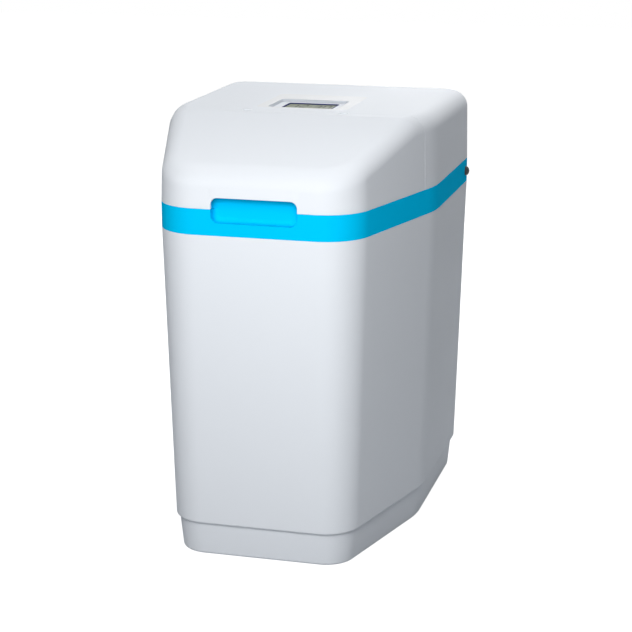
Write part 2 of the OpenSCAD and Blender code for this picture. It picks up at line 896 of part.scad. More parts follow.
module valve_body() {
    groove = seal_section + fit_gap;
    ribs = 6;
    rib_t = 3;
    rib_in = 2;
    riser_seat = 16;
    bore_lead = 10;
    color([0.2, 0.2, 0.22]) difference() {
        union() {
            at_tank(valve_z - plug_l) cylinder(r = neck_bore - fit_gap, h = plug_l + weld);
            at_tank(valve_z) cylinder(r = flange_r, h = flange_t);
            at_tank(valve_z) cylinder(r = chamber_r, h = valve_h);
            at_tank(bonnet_z - flange_t) cylinder(r = flange_r, h = flange_t);
            at_ports() translate([0, tank_y, 0]) along_y() cylinder(r = boss_r, h = boss_l);
            translate([-side_boss_x, tank_y, drain_z]) along_x()
                cylinder(r = side_boss_r, h = side_boss_x);
            translate([0, tank_y, injector_z]) along_x()
                cylinder(r = side_boss_r, h = side_boss_x);
            for (i = [0:ribs - 1])
                at_tank(valve_z + flange_t - weld) rotate((i + 0.5) * 360 / ribs)
                    translate([chamber_r - rib_in, -rib_t / 2, 0])
                    cube([flange_r - chamber_r, rib_t, valve_h - 2 * flange_t + 2 * weld]);
        }
        at_tank(valve_z - groove) ring(seal_ring + groove, seal_ring - groove, 3 * groove);
        at_tank(cavity_z) cylinder(r = cavity_r, h = cavity_h + past);
        at_tank(valve_z - plug_l - past) cylinder(r = riser_r + fit_gap, h = plug_l + riser_seat + past);
        at_ports() translate([0, port_y - spigot_l - loose_gap, 0]) along_y()
            cylinder(r = spigot_r + fit_gap, h = spigot_l + loose_gap + past);
        at_ports() translate([0, tank_y + bore_lead, 0]) along_y() cylinder(r = pipe_bore, h = boss_l);
        for (i = [0:3])
            at_screw(i, bonnet_z - screw_l) cylinder(r = screw_r + run_gap, h = screw_l + past);
    }
}

module at_screw(i, z) {
    at_tank(z) rotate(90 * i + 45) translate([post_ring, 0, 0]) children();
}

// Ceramic disc with three flow windows
module disc(r) {
    windows = 3;
    difference() {
        cylinder(r = r, h = disc_t);
        for (i = [0:windows - 1])
            rotate(i * 360 / windows) translate([0.58 * r, 0, -past])
                cylinder(r = 0.2 * r, h = disc_t + 2 * past);
        translate([0, 0, -past]) cylinder(r = hex_r + fit_gap, h = disc_t + 2 * past, $fn = 6);
    }
}

module fixed_disc() {
    color(acetal) at_tank(cavity_z) disc(cavity_r - fit_gap);
}

module rotor_disc() {
    color([0.8, 0.82, 0.84]) at_tank(disc_z) disc(cavity_r - 3 * fit_gap);
}

module valve_spindle() {
    collar_z = disc_z + disc_t;
    collar_h = 3;
    collar_rim = 2;
    color(steel) at_tank(0) {
        translate([0, 0, disc_z + fit_gap]) cylinder(r = hex_r, h = disc_t, $fn = 6);
        translate([0, 0, collar_z]) cylinder(r = hex_r + collar_rim, h = collar_h);
        translate([0, 0, collar_z]) cylinder(r = spindle_r, h = gear_z - collar_z);
        translate([0, 0, gear_z - weld]) rotate(motor_turn)
            cylinder(r = spindle_r, h = gear_h + weld + spindle_proud, $fn = 6);
    }
}

spindle_proud = 1;
gland_r = spindle_r + 3;
gland_h = 2.4;

module valve_bonnet() {
    color([0.2, 0.2, 0.22]) at_tank(bonnet_z) difference() {
        cylinder(r = flange_r, h = bonnet_t);
        translate([0, 0, -past]) cylinder(r = spindle_r + run_gap, h = bonnet_t + 2 * past);
        translate([0, 0, -past]) cylinder(r = gland_r, h = gland_h + past);
        for (i = [0:3])
            rotate(90 * i + 45) translate([post_ring, 0, -past])
                cylinder(r = screw_r + fit_gap, h = bonnet_t + 2 * past);
    }
}

module bonnet_screws() {
    drive_r = 1.2;
    drive_h = 1;
    color(steel) for (i = [0:3])
        at_screw(i, bonnet_z + bonnet_t) difference() {
            union() {
                translate([0, 0, -screw_l]) cylinder(r = screw_r, h = screw_l + weld);
                cylinder(r = screw_head_r, h = screw_head_h);
            }
            translate([0, 0, screw_head_h - drive_h]) cylinder(r = drive_r, h = drive_h + past, $fn = 6);
        }
}

module spindle_seal() {
    end_play = 0.05;
    section = min((gland_r - spindle_r) / 2 - fit_gap, gland_h / 2 - end_play);
    color(rubber) at_tank(bonnet_z + gland_h / 2) seal((gland_r + spindle_r) / 2, section);
}

// Half thickness of a tooth at radius r
function tooth_half(r, teeth) =
    PI * gear_m / 4 - gear_play / 2 - (r - gear_m * teeth / 2) * tan(20);

// Outline of a spur gear with straight-sided teeth
function gear_outline(teeth) =
    let (rp = gear_m * teeth / 2)
    [for (i = [0:teeth - 1]) for (s = [[-1.25, -1], [0.95, -1], [0.95, 1], [-1.25, 1]])
        let (r = rp + s[0] * gear_m, t = 360 * i / teeth + s[1] * tooth_half(r, teeth) / r * 180 / PI)
        r * [cos(t), sin(t)]];

// Drive train: turned about the tank axis as one
module at_drive(z) {
    at_tank(z) rotate(motor_turn) children();
}

module drive_gear() {
    windows = 6;
    color(acetal) at_drive(gear_z) difference() {
        linear_extrude(gear_h) polygon(gear_outline(gear_teeth));
        translate([0, 0, -past])
            cylinder(r = spindle_r + fit_gap / 2, h = gear_h + 2 * past, $fn = 6);
        for (i = [0:windows - 1])
            rotate(i * 360 / windows) translate([0.6 * gear_r, 0, -past])
                cylinder(r = 0.2 * gear_r, h = gear_h + 2 * past);
    }
}

module drive_plate() {
    posts = 3;
    plate_rim = 3;
    post_h = plate_z - bonnet_z - bonnet_t;
    color(grey) {
        at_drive(plate_z) difference() {
            linear_extrude(plate_t) {
                circle(r = flange_r);
                translate([motor_x, 0]) circle(r = motor_r + plate_rim);
                translate([0, -motor_r]) square([motor_x, 2 * motor_r]);
            }
            translate([motor_x, 0, -past]) cylinder(r = shaft_r + loose_gap, h = plate_t + 2 * past);
        }
        for (i = [0:posts - 1])
            at_drive(bonnet_z + bonnet_t) rotate((i + 0.5) * 360 / posts) translate([post_ring, 0, 0])
                cylinder(r = post_r, h = post_h + weld);
    }
}

module drive_motor() {
    lug_w = 8;
    lug_out = 2;
    lug_t = 1.5;
    plug_out = 3;
    plug_in = 4;
    plug_drop = 4;
    shaft_in = 10;
    color(steel) at_drive(motor_z) translate([motor_x, 0, 0]) difference() {
        union() {
            cylinder(r = motor_r, h = motor_h);
            translate([-lug_w / 2, -motor_r - lug_out, 0])
                cube([lug_w, 2 * (motor_r + lug_out), lug_t]);
            translate([-motor_r / 2, motor_r - plug_in, 0])
                cube([motor_r, plug_in + plug_out, motor_h - plug_drop]);
        }
        translate([0, 0, -past]) cylinder(r = shaft_r + run_gap, h = shaft_in + past);
    }
}

module motor_pinion() {
    shaft_up = 9;
    color(acetal) at_drive(gear_z) translate([motor_x, 0, 0]) {
        linear_extrude(gear_h) polygon(gear_outline(pinion_teeth));
        translate([0, 0, gear_h - weld])
            cylinder(r = shaft_r, h = motor_z + shaft_up - gear_z - gear_h + weld);
    }
}

// Pipe connector: spigot in the valve port, clamped flange and outer pipe thread
module connector(side) {
    flange_w = 4;
    nut_l = 10;
    nut_rim = 2.5;
    length = pipe_y - port_y;
    color(acetal) translate([side * port_x, port_y, port_z]) along_y() difference() {
        union() {
            translate([0, 0, -spigot_l]) cylinder(r = spigot_r, h = spigot_l + weld);
            cylinder(r = boss_r, h = flange_w);
            cylinder(r = thread_r, h = length);
            translate([0, 0, flange_w - weld]) cylinder(r = thread_r + nut_rim, h = nut_l, $fn = 6);
        }
        translate([0, 0, -spigot_l - past]) cylinder(r = pipe_bore, h = length + spigot_l + 2 * past);
        translate([0, 0, -spigot_l / 2]) ring(spigot_r + past, spigot_r - groove_d, groove_l);
    }
}

module inlet_connector() { connector(-1); }

module outlet_connector() { connector(1); }

module port_seals() {
    section = 0.65;
    play = 0.1;
    color(rubber) at_ports() translate([0, port_y - (spigot_l - groove_l) / 2, 0]) along_y()
        seal(spigot_r - groove_d + section + play, section);
}

// Flow meter in the outlet: a turbine between two halves of a cage
turbine_l = 12;
turbine_hub = 2.2;
axle_r = 1;
axle_l = 4;
cage_r = pipe_bore - run_gap;
cage_l = turbine_l / 2 + axle_l;
turbine_y = port_y + 20;

module cage_half() {
    spokes = 3;
    spoke_t = 1.2;
    spoke_l = 3;
    cage_t = 0.7;
    difference() {
        union() {
            translate([0, 0, fit_gap / 2]) ring(cage_r, cage_r - cage_t, cage_l - fit_gap / 2);
            translate([0, 0, cage_l - spoke_l]) cylinder(r = turbine_hub, h = spoke_l);
            for (i = [0:spokes - 1])
                rotate(i * 360 / spokes) translate([turbine_hub - weld, -spoke_t / 2, cage_l - spoke_l])
                    cube([cage_r - turbine_hub, spoke_t, spoke_l]);
        }
        cylinder(r = axle_r + run_gap, h = cage_l + past);
    }
}

module turbine_cage() {
    color(acetal) translate([port_x, turbine_y, port_z]) for (turn = [-90, 90])
        rotate([turn, 0, 0]) cage_half();
}

module flow_turbine() {
    blades = 4;
    blade_t = 1;
    blade_turn = 30;
    end_play = 0.5;
    tip_gap = 1.1;
    tip_r = cage_r - tip_gap;
    color([0.85, 0.3, 0.2]) translate([port_x, turbine_y, port_z]) along_y() {
        translate([0, 0, -turbine_l / 2]) cylinder(r = turbine_hub, h = turbine_l);
        cylinder(r = axle_r, h = turbine_l + 2 * (axle_l - end_play), center = true);
        intersection() {
            cylinder(r = tip_r, h = turbine_l - 2 * blade_t, center = true);
            for (i = [0:blades - 1])
                rotate(i * 360 / blades) rotate([blade_turn, 0, 0])
                    translate([axle_r, -blade_t / 2, -turbine_l]) cube([tip_r, blade_t, 2 * turbine_l]);
        }
    }
}

module injector() {
    cap_l = 10;
    cap_rim = 1;
    bead = 1.5;
    bead_l = 3;
    seat_t = 3;
    color(acetal) translate([side_boss_x, tank_y, injector_z]) along_x() difference() {
        union() {
            cylinder(r = side_boss_r + cap_rim, h = cap_l, $fn = 8);
            cylinder(r = line_d / 2, h = injector_l);
            translate([0, 0, cap_l - weld]) cylinder(r = line_d / 2 + bead, h = bead_l);
        }
        translate([0, 0, seat_t]) cylinder(r = line_d / 4, h = injector_l);
    }
}

module drain_elbow() {
    end_y = y_rear + drain_proud;
    barbs = 4;
    barb_d = 0.8;
    barb_l = 4;
    barb_pitch = 6;
    elbow_t = 1.5;
    hose_l = barbs * barb_pitch;
    color(black) difference() {
        union() {
            translate([-drain_x, tank_y, drain_z]) along_x()
                cylinder(r = drain_r + elbow_t, h = drain_x - side_boss_x);
            translate([-drain_x, tank_y, drain_z]) sphere(r = drain_r + elbow_t);
            translate([-drain_x, tank_y, drain_z]) along_y()
                cylinder(r = drain_r - barb_d, h = end_y - tank_y);
            translate([-drain_x, tank_y, drain_z]) along_y()
                cylinder(r = drain_r, h = end_y - tank_y - hose_l);
            for (i = [0:barbs - 1])
                translate([-drain_x, end_y - barb_pitch * i - barb_l - 1, drain_z]) along_y()
                    cylinder(r1 = drain_r, r2 = drain_r - barb_d, h = barb_l);
        }
        translate([-drain_x, tank_y, drain_z]) along_y() cylinder(r = drain_bore, h = casing_d);
        translate([-drain_x, tank_y, drain_z]) along_x() cylinder(r = drain_bore, h = drain_x);
    }
}

// Brine system

module at_well(z) {
    translate([well_x, well_y, z]) children();
}

module brine_well() {
    slots = 8;
    slit_w = 3;
    slit_lead = 8;
    color(white) at_well(floor_t) difference() {
        ring(well_r, well_r - well_t, well_z - floor_t);
        for (i = [0:slots - 1])
            rotate(i * 360 / slots) translate([0, -slit_w / 2, slit_lead])
                cube([well_r + past, slit_w, grid_h - 2 * slit_lead]);
    }
}

module brine_well_cap() {
    rim = 8;
    rim_t = 2.5;
    cap_t = 3;
    brim = 2;
    color(white) at_well(well_z) difference() {
        union() {
            cylinder(r = well_r + brim, h = cap_t);
            translate([0, 0, -rim]) ring(well_r - well_t - fit_gap, well_r - well_t - rim_t, rim + weld);
        }
        translate([0, 0, -past]) cylinder(r = stand_r + fit_gap, h = cap_t + 2 * past);
    }
}

module brine_valve() {
    base_h = 4;
    ports = 6;
    port_hole_r = 4;
    check_rim = 6;
    check_h = 30;
    stop_rim = 4;
    stop_h = 4;
    nut_rim = 3;
    nut_h = 6;
    nut_drop = 8;
    color(acetal) at_well(0) {
        translate([0, 0, floor_t]) difference() {
            cylinder(r = well_r - well_t - fit_gap, h = base_h);
            for (i = [0:ports - 1])
                rotate(i * 360 / ports) translate([0.65 * well_r, 0, -past])
                    cylinder(r = port_hole_r, h = base_h + 2 * past);
        }
        translate([0, 0, floor_t]) cylinder(r = stand_r + check_rim, h = check_h);
        translate([0, 0, floor_t]) cylinder(r = stand_r, h = stand_z - floor_t);
        translate([0, 0, floor_t + float_stop - stop_h]) cylinder(r = stand_r + stop_rim, h = stop_h);
        translate([0, 0, stand_z - nut_drop]) cylinder(r = stand_r + nut_rim, h = nut_h, $fn = 6);
    }
}

module brine_float() {
    bevel = 6;
    bore = stand_r + run_gap;
    color([0.95, 0.6, 0.15]) at_well(float_z) rotate_extrude() polygon([
        [bore, 0], [float_r - bevel, 0], [float_r, bevel], [float_r, float_h - bevel],
        [float_r - bevel, float_h], [bore, float_h]]);
}

line_steps = 20;
line_sides = 10;
line_rise = 60;
line_lean = 10;

// Route of the brine line: out of the top of the standpipe and into the injector
function line_point(t) =
    let (a = [well_x, well_y, stand_z], d = [side_boss_x + injector_l, tank_y, injector_z],
         b = a + [0, line_lean, line_rise], c = d + [line_rise, 0, 0], s = 1 - t)
    s * s * s * a + 3 * s * s * t * b + 3 * s * t * t * c + t * t * t * d;

function line_heading(i) =
    i == 0 ? [0, 0, 1] :
    i == line_steps ? [-1, 0, 0] :
    unit(line_point((i + 0.5) / line_steps) - line_point((i - 0.5) / line_steps));

function line_ring(i) =
    let (h = line_heading(i), u = unit(cross(h, [1, 0, 1])), v = cross(h, u))
    [for (j = [0:line_sides - 1]) let (t = 360 * j / line_sides)
        line_point(i / line_steps) + line_d / 2 * (u * cos(t) + v * sin(t))];

module brine_line() {
    n = line_sides;
    last = line_steps * n;
    side = [for (i = [0:line_steps - 1]) for (j = [0:n - 1])
        let (a = i * n + j, b = i * n + (j + 1) % n)
        each [[a, a + n, b + n], [a, b + n, b]]];
    ends = [[for (j = [0:n - 1]) j], [for (j = [n - 1:-1:0]) last + j]];
    color([0.85, 0.87, 0.9])
        polyhedron([for (i = [0:line_steps]) each line_ring(i)], concat(side, ends), convexity = 6);
}

module salt_grid() {
    inset = floor_inset + grid_gap;
    front = y_front + inset;
    reach = tank_y - foot_r - grid_back;
    leg_y = [front + leg_lead, reach - leg_lead];
    legs = [[-leg_front, leg_y[0]], [leg_front, leg_y[0]], [0, leg_y[1]], [-leg_rear, leg_y[1]]];
    color(white) {
        translate([0, 0, grid_z]) linear_extrude(grid_t) difference() {
            intersection() {
                polygon(outline(inset));
                translate([-half_w, y_front]) square([casing_w, reach - y_front]);
            }
            translate([well_x, well_y]) circle(r = well_r + loose_gap);
            for (i = [0:slot_count - 1], k = [0:slot_rows - 1])
                translate([(i - (slot_count - 1) / 2) * slot_pitch - slot_w / 2,
                           front + slot_lead + (slot_l + slot_rib) * k])
                    square([slot_w, slot_l]);
        }
        for (leg = legs)
            translate([leg.x, leg.y, floor_t]) cylinder(r = leg_r, h = grid_h + weld);
    }
}

cabinet();
collar_frame();
finger_pull();
overflow_plug();
salt_lid();
hinge_pins();
rear_cover();
power_inlet();
panel_overlay();
display_window();
lcd_module();
control_board();
control_box();
key_menu();
key_down();
key_up();
key_set();
resin_tank();
tank_foot();
resin_bed();
riser_tube();
bottom_distributor();
top_distributor();
neck_seal();
valve_body();
fixed_disc();
rotor_disc();
valve_spindle();
valve_bonnet();
bonnet_screws();
spindle_seal();
drive_gear();
drive_plate();
drive_motor();
motor_pinion();
inlet_connector();
outlet_connector();
port_seals();
turbine_cage();
flow_turbine();
injector();
drain_elbow();
brine_well();
brine_well_cap();
brine_valve();
brine_float();
brine_line();
salt_grid();
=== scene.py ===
"""Dressed model of a compact cabinet water softener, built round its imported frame."""

import logging
import math
from dataclasses import dataclass
from enum import Enum
from typing import Sequence

import bmesh
import bpy
import numpy as np
from mathutils import Matrix, Vector


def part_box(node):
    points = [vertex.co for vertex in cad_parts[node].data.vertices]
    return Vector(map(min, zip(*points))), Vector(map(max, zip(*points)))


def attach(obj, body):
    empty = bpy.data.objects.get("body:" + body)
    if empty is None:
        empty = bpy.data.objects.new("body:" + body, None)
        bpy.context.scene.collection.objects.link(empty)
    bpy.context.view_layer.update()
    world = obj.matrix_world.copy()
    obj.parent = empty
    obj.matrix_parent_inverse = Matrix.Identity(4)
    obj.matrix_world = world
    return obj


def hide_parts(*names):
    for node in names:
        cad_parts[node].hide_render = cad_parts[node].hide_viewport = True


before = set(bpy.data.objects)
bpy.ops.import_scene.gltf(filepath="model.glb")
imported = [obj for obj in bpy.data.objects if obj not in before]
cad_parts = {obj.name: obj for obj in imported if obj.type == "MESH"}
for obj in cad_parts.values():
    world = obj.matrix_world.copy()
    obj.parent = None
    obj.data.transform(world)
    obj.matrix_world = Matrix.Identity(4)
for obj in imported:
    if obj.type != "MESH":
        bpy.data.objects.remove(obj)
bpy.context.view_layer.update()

MM = 0.001
LOG = logging.getLogger("water_softener")
# Largest angle in degrees that is shaded smooth
SMOOTH_ANGLE = 35.0
# Points and edges closer than this, in metres, are one
MERGE = 1e-7
# Quarter round as shares of its radius
QUARTER = np.array([0.0, 0.08, 0.29, 0.62, 1.0])
# Corner and edge rounding of the tools that cut square notches
TOOL_CORNER = 0.05
TOOL_EDGE = 0.02
SIDES = {"l": -1, "r": 1}
# Size of the slow drift in colour and roughness over a large moulding
DRIFT_MM = 91.0
BUMP_STRENGTH = 0.6
COAT_ROUGHNESS = 0.08
# Depth to which light soaks into a milky plastic
SOAK_MM = 2.0
# Divides the wave texture's scale, so that one band is about two pitches wide
WAVE_BANDS = 6
# Scale of a drawn grain along its length, against 1 across
STREAK = 0.04


# Shader helpers

def linear(code: str) -> tuple[float, float, float, float]:
    """Turns an sRGB hex colour into linear RGBA.

    Args:
        code: colour as "#rrggbb".

    Returns:
        The colour in linear light with an alpha of 1.
    """
    parts = [int(code[i:i + 2], 16) / 255 for i in (1, 3, 5)]
    return tuple(c / 12.92 if c <= 0.04045 else ((c + 0.055) / 1.055) ** 2.4 for c in parts) + (1.0,)


def add_node(tree: bpy.types.NodeTree, kind: str, settings: dict | None = None,
             links: dict | None = None) -> bpy.types.Node:
    """Adds one shader node with its settings and its incoming links.

    Args:
        tree: node tree to add to.
        kind: type name of the node.
        settings: socket values by socket name or number, and properties by name.
        links: output sockets by the name or number of the input they feed.

    Returns:
        The new node.
    """
    node = tree.nodes.new(kind)
    for key, value in (settings or {}).items():
        if isinstance(key, int) or key in node.inputs:
            node.inputs[key].default_value = value
        else:
            setattr(node, key, value)
    for key, socket in (links or {}).items():
        tree.links.new(socket, node.inputs[key])
    return node


def blank_tree(owner: bpy.types.Material | bpy.types.World) -> bpy.types.NodeTree:
    """Gives a material or world an empty node tree.

    Args:
        owner: the material or world.

    Returns:
        Its node tree.
    """
    owner.use_nodes = True
    owner.node_tree.nodes.clear()
    return owner.node_tree


class Pattern(Enum):
    """Fine relief of a surface."""

    GRAIN = "moulded grain"
    BRUSHED = "drawn streaks"
    BEADS = "packed beads"
    WOUND = "wound fibre"


@dataclass(frozen=True)
class Finish:
    """A real material with its process.

    Attributes:
        name: material and process.
        colour: sRGB hex colour of the surface.
        roughness: mean roughness.
        pattern: kind of fine relief.
        pitch_mm: size of the relief's features.
        relief_mm: height of the relief.
        mottle: share by which the colour drifts over the piece.
        haze: share by which the roughness drifts over the piece.
        metallic: 1 for metal.
        ior: index of refraction.
        coat: weight of a clear gloss layer.
        clear: share of light that passes through.
        glow: light that soaks in under the surface.
        gloss: strength of the surface reflection.
    """

    name: str
    colour: str
    roughness: float
    pattern: Pattern = Pattern.GRAIN
    pitch_mm: float = 0.8
    relief_mm: float = 0.01
    mottle: float = 0.03
    haze: float = 0.12
    metallic: float = 0.0
    ior: float = 1.5
    coat: float = 0.0
    clear: float = 0.0
    glow: float = 0.0
    gloss: float = 0.5

    def relief(self, tree: bpy.types.NodeTree, place: bpy.types.NodeSocket) -> bpy.types.NodeSocket:
        """Builds the height pattern of the surface.

        Args:
            tree: node tree of the material.
            place: socket with the place on the piece in metres.

        Returns:
            Socket with heights from 0 to 1.
        """
        scale = 1 / (self.pitch_mm * MM)
        if self.pattern is Pattern.BEADS:
            cells = add_node(tree, "ShaderNodeTexVoronoi", {"Scale": scale}, {"Vector": place})
            return cells.outputs["Distance"]
        if self.pattern is Pattern.WOUND:
            waves = add_node(tree, "ShaderNodeTexWave", {
                "bands_direction": "DIAGONAL", "Scale": scale / WAVE_BANDS, "Distortion": 2.0, "Detail": 3.0,
            }, {"Vector": place})
            return waves.outputs["Fac"]
        stretch = (1.0, 1.0, STREAK) if self.pattern is Pattern.BRUSHED else (1.0, 1.0, 1.0)
        drawn = add_node(tree, "ShaderNodeMapping", {"Scale": stretch}, {"Vector": place})
        grain = add_node(tree, "ShaderNodeTexNoise", {"Scale": scale, "Detail": 3.0, "Roughness": 0.55},
                         {"Vector": drawn.outputs[0]})
        return grain.outputs["Fac"]

    def material(self) -> bpy.types.Material:
        """Builds the material, or finds the one already built.

        Returns:
            The material of this finish.
        """
        made = bpy.data.materials.get(self.name)
        if made is not None:
            return made
        made = bpy.data.materials.new(self.name)
        tree = blank_tree(made)
        place = add_node(tree, "ShaderNodeTexCoord").outputs["Object"]
        drift = add_node(tree, "ShaderNodeTexNoise", {"Scale": 1 / (DRIFT_MM * MM), "Detail": 2.0},
                         {"Vector": place})
        full = linear(self.colour)
        low = tuple(c * (1 - self.mottle) for c in full[:3]) + (1.0,)
        tint = add_node(tree, "ShaderNodeMix", {"data_type": "RGBA", 6: low, 7: full},
                        {0: drift.outputs["Fac"]})
        rough = add_node(tree, "ShaderNodeMapRange", {
            "To Min": self.roughness * (1 - self.haze), "To Max": self.roughness * (1 + self.haze),
        }, {"Value": drift.outputs["Fac"]})
        bump = add_node(tree, "ShaderNodeBump", {"Strength": BUMP_STRENGTH, "Distance": self.relief_mm * MM},
                        {"Height": self.relief(tree, place)})
        skin = add_node(tree, "ShaderNodeBsdfPrincipled", {
            "Metallic": self.metallic, "IOR": self.ior, "Coat Weight": self.coat,
            "Coat Roughness": COAT_ROUGHNESS, "Transmission Weight": self.clear,
            "Subsurface Weight": self.glow, "Subsurface Scale": SOAK_MM * MM,
            "Specular IOR Level": self.gloss,
        }, {"Base Color": tint.outputs[2], "Roughness": rough.outputs["Result"],
            "Normal": bump.outputs["Normal"]})
        add_node(tree, "ShaderNodeOutputMaterial", {}, {"Surface": skin.outputs[0]})
        return made


# Satin moulded ABS of the casing: an even pale skin that softens every reflection
WHITE_ABS = Finish("White ABS, moulded satin", "#eaeef3", 0.6, pitch_mm=0.7, relief_mm=0.012, mottle=0.012,
                   gloss=0.04)
# The same plastic with colour in the mass: saturated, with a soft sheen along its edges
CYAN_ABS = Finish("Cyan ABS, moulded satin", "#00cbff", 0.7, pitch_mm=0.7, relief_mm=0.012, mottle=0.02,
                  gloss=0.004)
# Printed polyester sheet: flat, neutral and a little duller than the moulding round it
OVERLAY_PET = Finish("Polyester overlay, printed matt", "#e8eaec", 0.55, pitch_mm=0.25, relief_mm=0.003,
                     mottle=0.01, gloss=0.15)
# Panel's rim, a white moulding painted a shade greyer than the casing: painted shade in the recess, so that
# the recess reads
RIM_SHADE_ABS = Finish("White ABS, greyed as painted recess shade", "#cdd1d8", 0.55, pitch_mm=0.7, relief_mm=0.012, mottle=0.02,
                  gloss=0.05)
# Clear acrylic: almost unseen, with a sharp glint
CLEAR_ACRYLIC = Finish("Acrylic window, polished", "#f4f7f6", 0.04, pitch_mm=4.0, relief_mm=0.002,
                       mottle=0.0, ior=1.49, clear=0.92)
# Reflective liquid-crystal glass: grey green, flat under a thin gloss
LCD_GLASS = Finish("Liquid crystal glass, reflective", "#757c67", 0.4, pitch_mm=0.6, relief_mm=0.001,
                   mottle=0.03, gloss=0.1)
# Switched-on crystal segments: near black with a hint of green
LCD_INK = Finish("Liquid crystal segments", "#2b302a", 0.45, pitch_mm=0.6, relief_mm=0.001, gloss=0.05)
# Dark moulded frame round the display: navy and half matt
NAVY_FRAME = Finish("Navy ABS, moulded matt", "#1f2668", 0.6, pitch_mm=0.5, relief_mm=0.01, gloss=0.03)
# Solder mask over glass laminate: deep green with a resin gloss
SOLDER_MASK = Finish("Glass laminate, green solder mask", "#1d5a36", 0.3, pitch_mm=0.4, relief_mm=0.01,
                     coat=0.5)
# Grey engineering plastic: plain and slightly grainy
GREY_PA = Finish("Grey nylon, glass filled", "#6d7278", 0.5, pitch_mm=0.5, relief_mm=0.03, mottle=0.06)
# Silicone keys: soft, pale and without sharp glints
KEY_SILICONE = Finish("Silicone keys, moulded matt", "#d9dde2", 0.55, pitch_mm=0.3, relief_mm=0.006)
# Vulcanised rubber: black, matt, with a dusty bloom
BLACK_RUBBER = Finish("Black rubber, vulcanised", "#17181a", 0.6, pitch_mm=0.6, relief_mm=0.02, mottle=0.2)
# Black ABS: darker and tighter than rubber
BLACK_ABS = Finish("Black ABS, moulded satin", "#1b1c1f", 0.4, pitch_mm=0.5, relief_mm=0.012)
# Glass fibre wound over a liner: the crossing strands show through the resin
WOUND_TANK = Finish("Glass fibre, filament wound", "#3a4046", 0.35, Pattern.WOUND, 9.0, 0.15, 0.25, coat=0.4)
# Exchange resin: amber beads with bright tops. Coarser than the real half millimetre
RESIN_BEADS = Finish("Exchange resin, amber beads", "#a5672a", 0.3, Pattern.BEADS, 1.6, 0.5, 0.3, ior=1.6)
# Acetal gears and cages: creamy white, waxy
ACETAL = Finish("Acetal, machined", "#e8e4d8", 0.35, pitch_mm=0.5, relief_mm=0.01, glow=0.05)
# Sintered alumina discs: chalk white and lapped
CERAMIC = Finish("Alumina, lapped", "#efe9df", 0.2, pitch_mm=0.2, relief_mm=0.002)
# Drawn and plated steel: streaky bright metal
STEEL = Finish("Zinc plated steel, drawn", "#b9bcc0", 0.32, Pattern.BRUSHED, 0.5, 0.01, 0.08, metallic=1.0)
# Turbine in red nylon, seen through its cage
RED_PA = Finish("Red nylon, moulded", "#b3261f", 0.4, pitch_mm=0.4, relief_mm=0.01)
# Blown polypropylene float: milky
FLOAT_PP = Finish("Polypropylene, milky", "#dfe3e0", 0.45, pitch_mm=1.2, relief_mm=0.03, glow=0.1)
# Extruded polyethylene line: cloudy white, lengthwise die lines
LINE_PE = Finish("Polyethylene tube, extruded", "#e2e5e3", 0.4, Pattern.BRUSHED, 0.6, 0.02, glow=0.1)


SLOT_FINISH: dict[str, Finish] = {
    "white_plastic": WHITE_ABS, "band_plastic": CYAN_ABS, "overlay_film": OVERLAY_PET,
    "window_clear": CLEAR_ACRYLIC, "lcd_face": LCD_GLASS, "board_green": SOLDER_MASK,
    "grey_plastic": GREY_PA, "key_plastic": KEY_SILICONE, "black_rubber": BLACK_RUBBER,
    "black_plastic": BLACK_ABS, "tank_fibre": WOUND_TANK, "resin_beads": RESIN_BEADS,
    "acetal": ACETAL, "ceramic": CERAMIC, "steel": STEEL, "turbine_red": RED_PA,
    "float_plastic": FLOAT_PP, "line_tube": LINE_PE,
}


# Mesh helpers, all in millimetres

class Loft:
    """Collects rows of points and the faces between them."""

    def __init__(self) -> None:
        """Starts empty."""
        self.points: list[Sequence[float]] = []
        self.faces: list[list[int]] = []

    def row(self, points: np.ndarray) -> list[int]:
        """Adds one row of points.

        Args:
            points: array of n by 3.

        Returns:
            Numbers of the new points.
        """
        start = len(self.points)
        self.points.extend(points.tolist())
        return list(range(start, start + len(points)))

    def bridge(self, a: list[int], b: list[int], closed: bool = False) -> None:
        """Joins two rows of equal length with quads.

        Args:
            a: first row.
            b: second row.
            closed: whether the rows run round.
        """
        n = len(a)
        for i in range(n if closed else n - 1):
            j = (i + 1) % n
            self.faces.append([a[i], a[j], b[j], b[i]])

    def chain(self, rows: list[list[int]], closed: bool = False) -> None:
        """Joins each row to the next.

        Args:
            rows: rows of equal length.
            closed: whether the rows run round.
        """
        for a, b in zip(rows, rows[1:]):
            self.bridge(a, b, closed)

    def cap(self, row: list[int], ends: int) -> None:
        """Closes an open row, symmetric about its middle, with strips across.

        Args:
            row: row that runs from one side round to the other.
            ends: number of strips before the last many-sided face.
        """
        n = len(row)
        for i in range(ends):
            self.faces.append([row[i], row[i + 1], row[n - 2 - i], row[n - 1 - i]])
        self.faces.append(row[ends:n - ends])

    def cap_ring(self, row: list[int], near: int, far: int) -> None:
        """Closes a symmetric ring that starts at its front middle.

        Args:
            row: the ring.
            near: number of columns on half of the front.
            far: column where the back begins.
        """
        n = len(row)
        for i in range(near + 1, far - 1):
            self.faces.append([row[i], row[i + 1], row[n - i - 1], row[n - i]])
        self.faces.append(row[n - near - 1:] + row[:near + 2])
        self.faces.append(row[far - 1:n - far + 2])

    def build(self, name: str, finish: Finish, angle: float = SMOOTH_ANGLE) -> bpy.types.Object:
        """Makes the object with smooth shading up to an angle.

        Args:
            name: name of the piece.
            finish: its finish.
            angle: largest smooth angle in degrees.

        Returns:
            The new object, linked to the scene.
        """
        mesh = bpy.data.meshes.new(name)
        mesh.from_pydata([tuple(c * MM for c in p) for p in self.points], [], self.faces)
        return wrap(mesh, name, finish, angle)


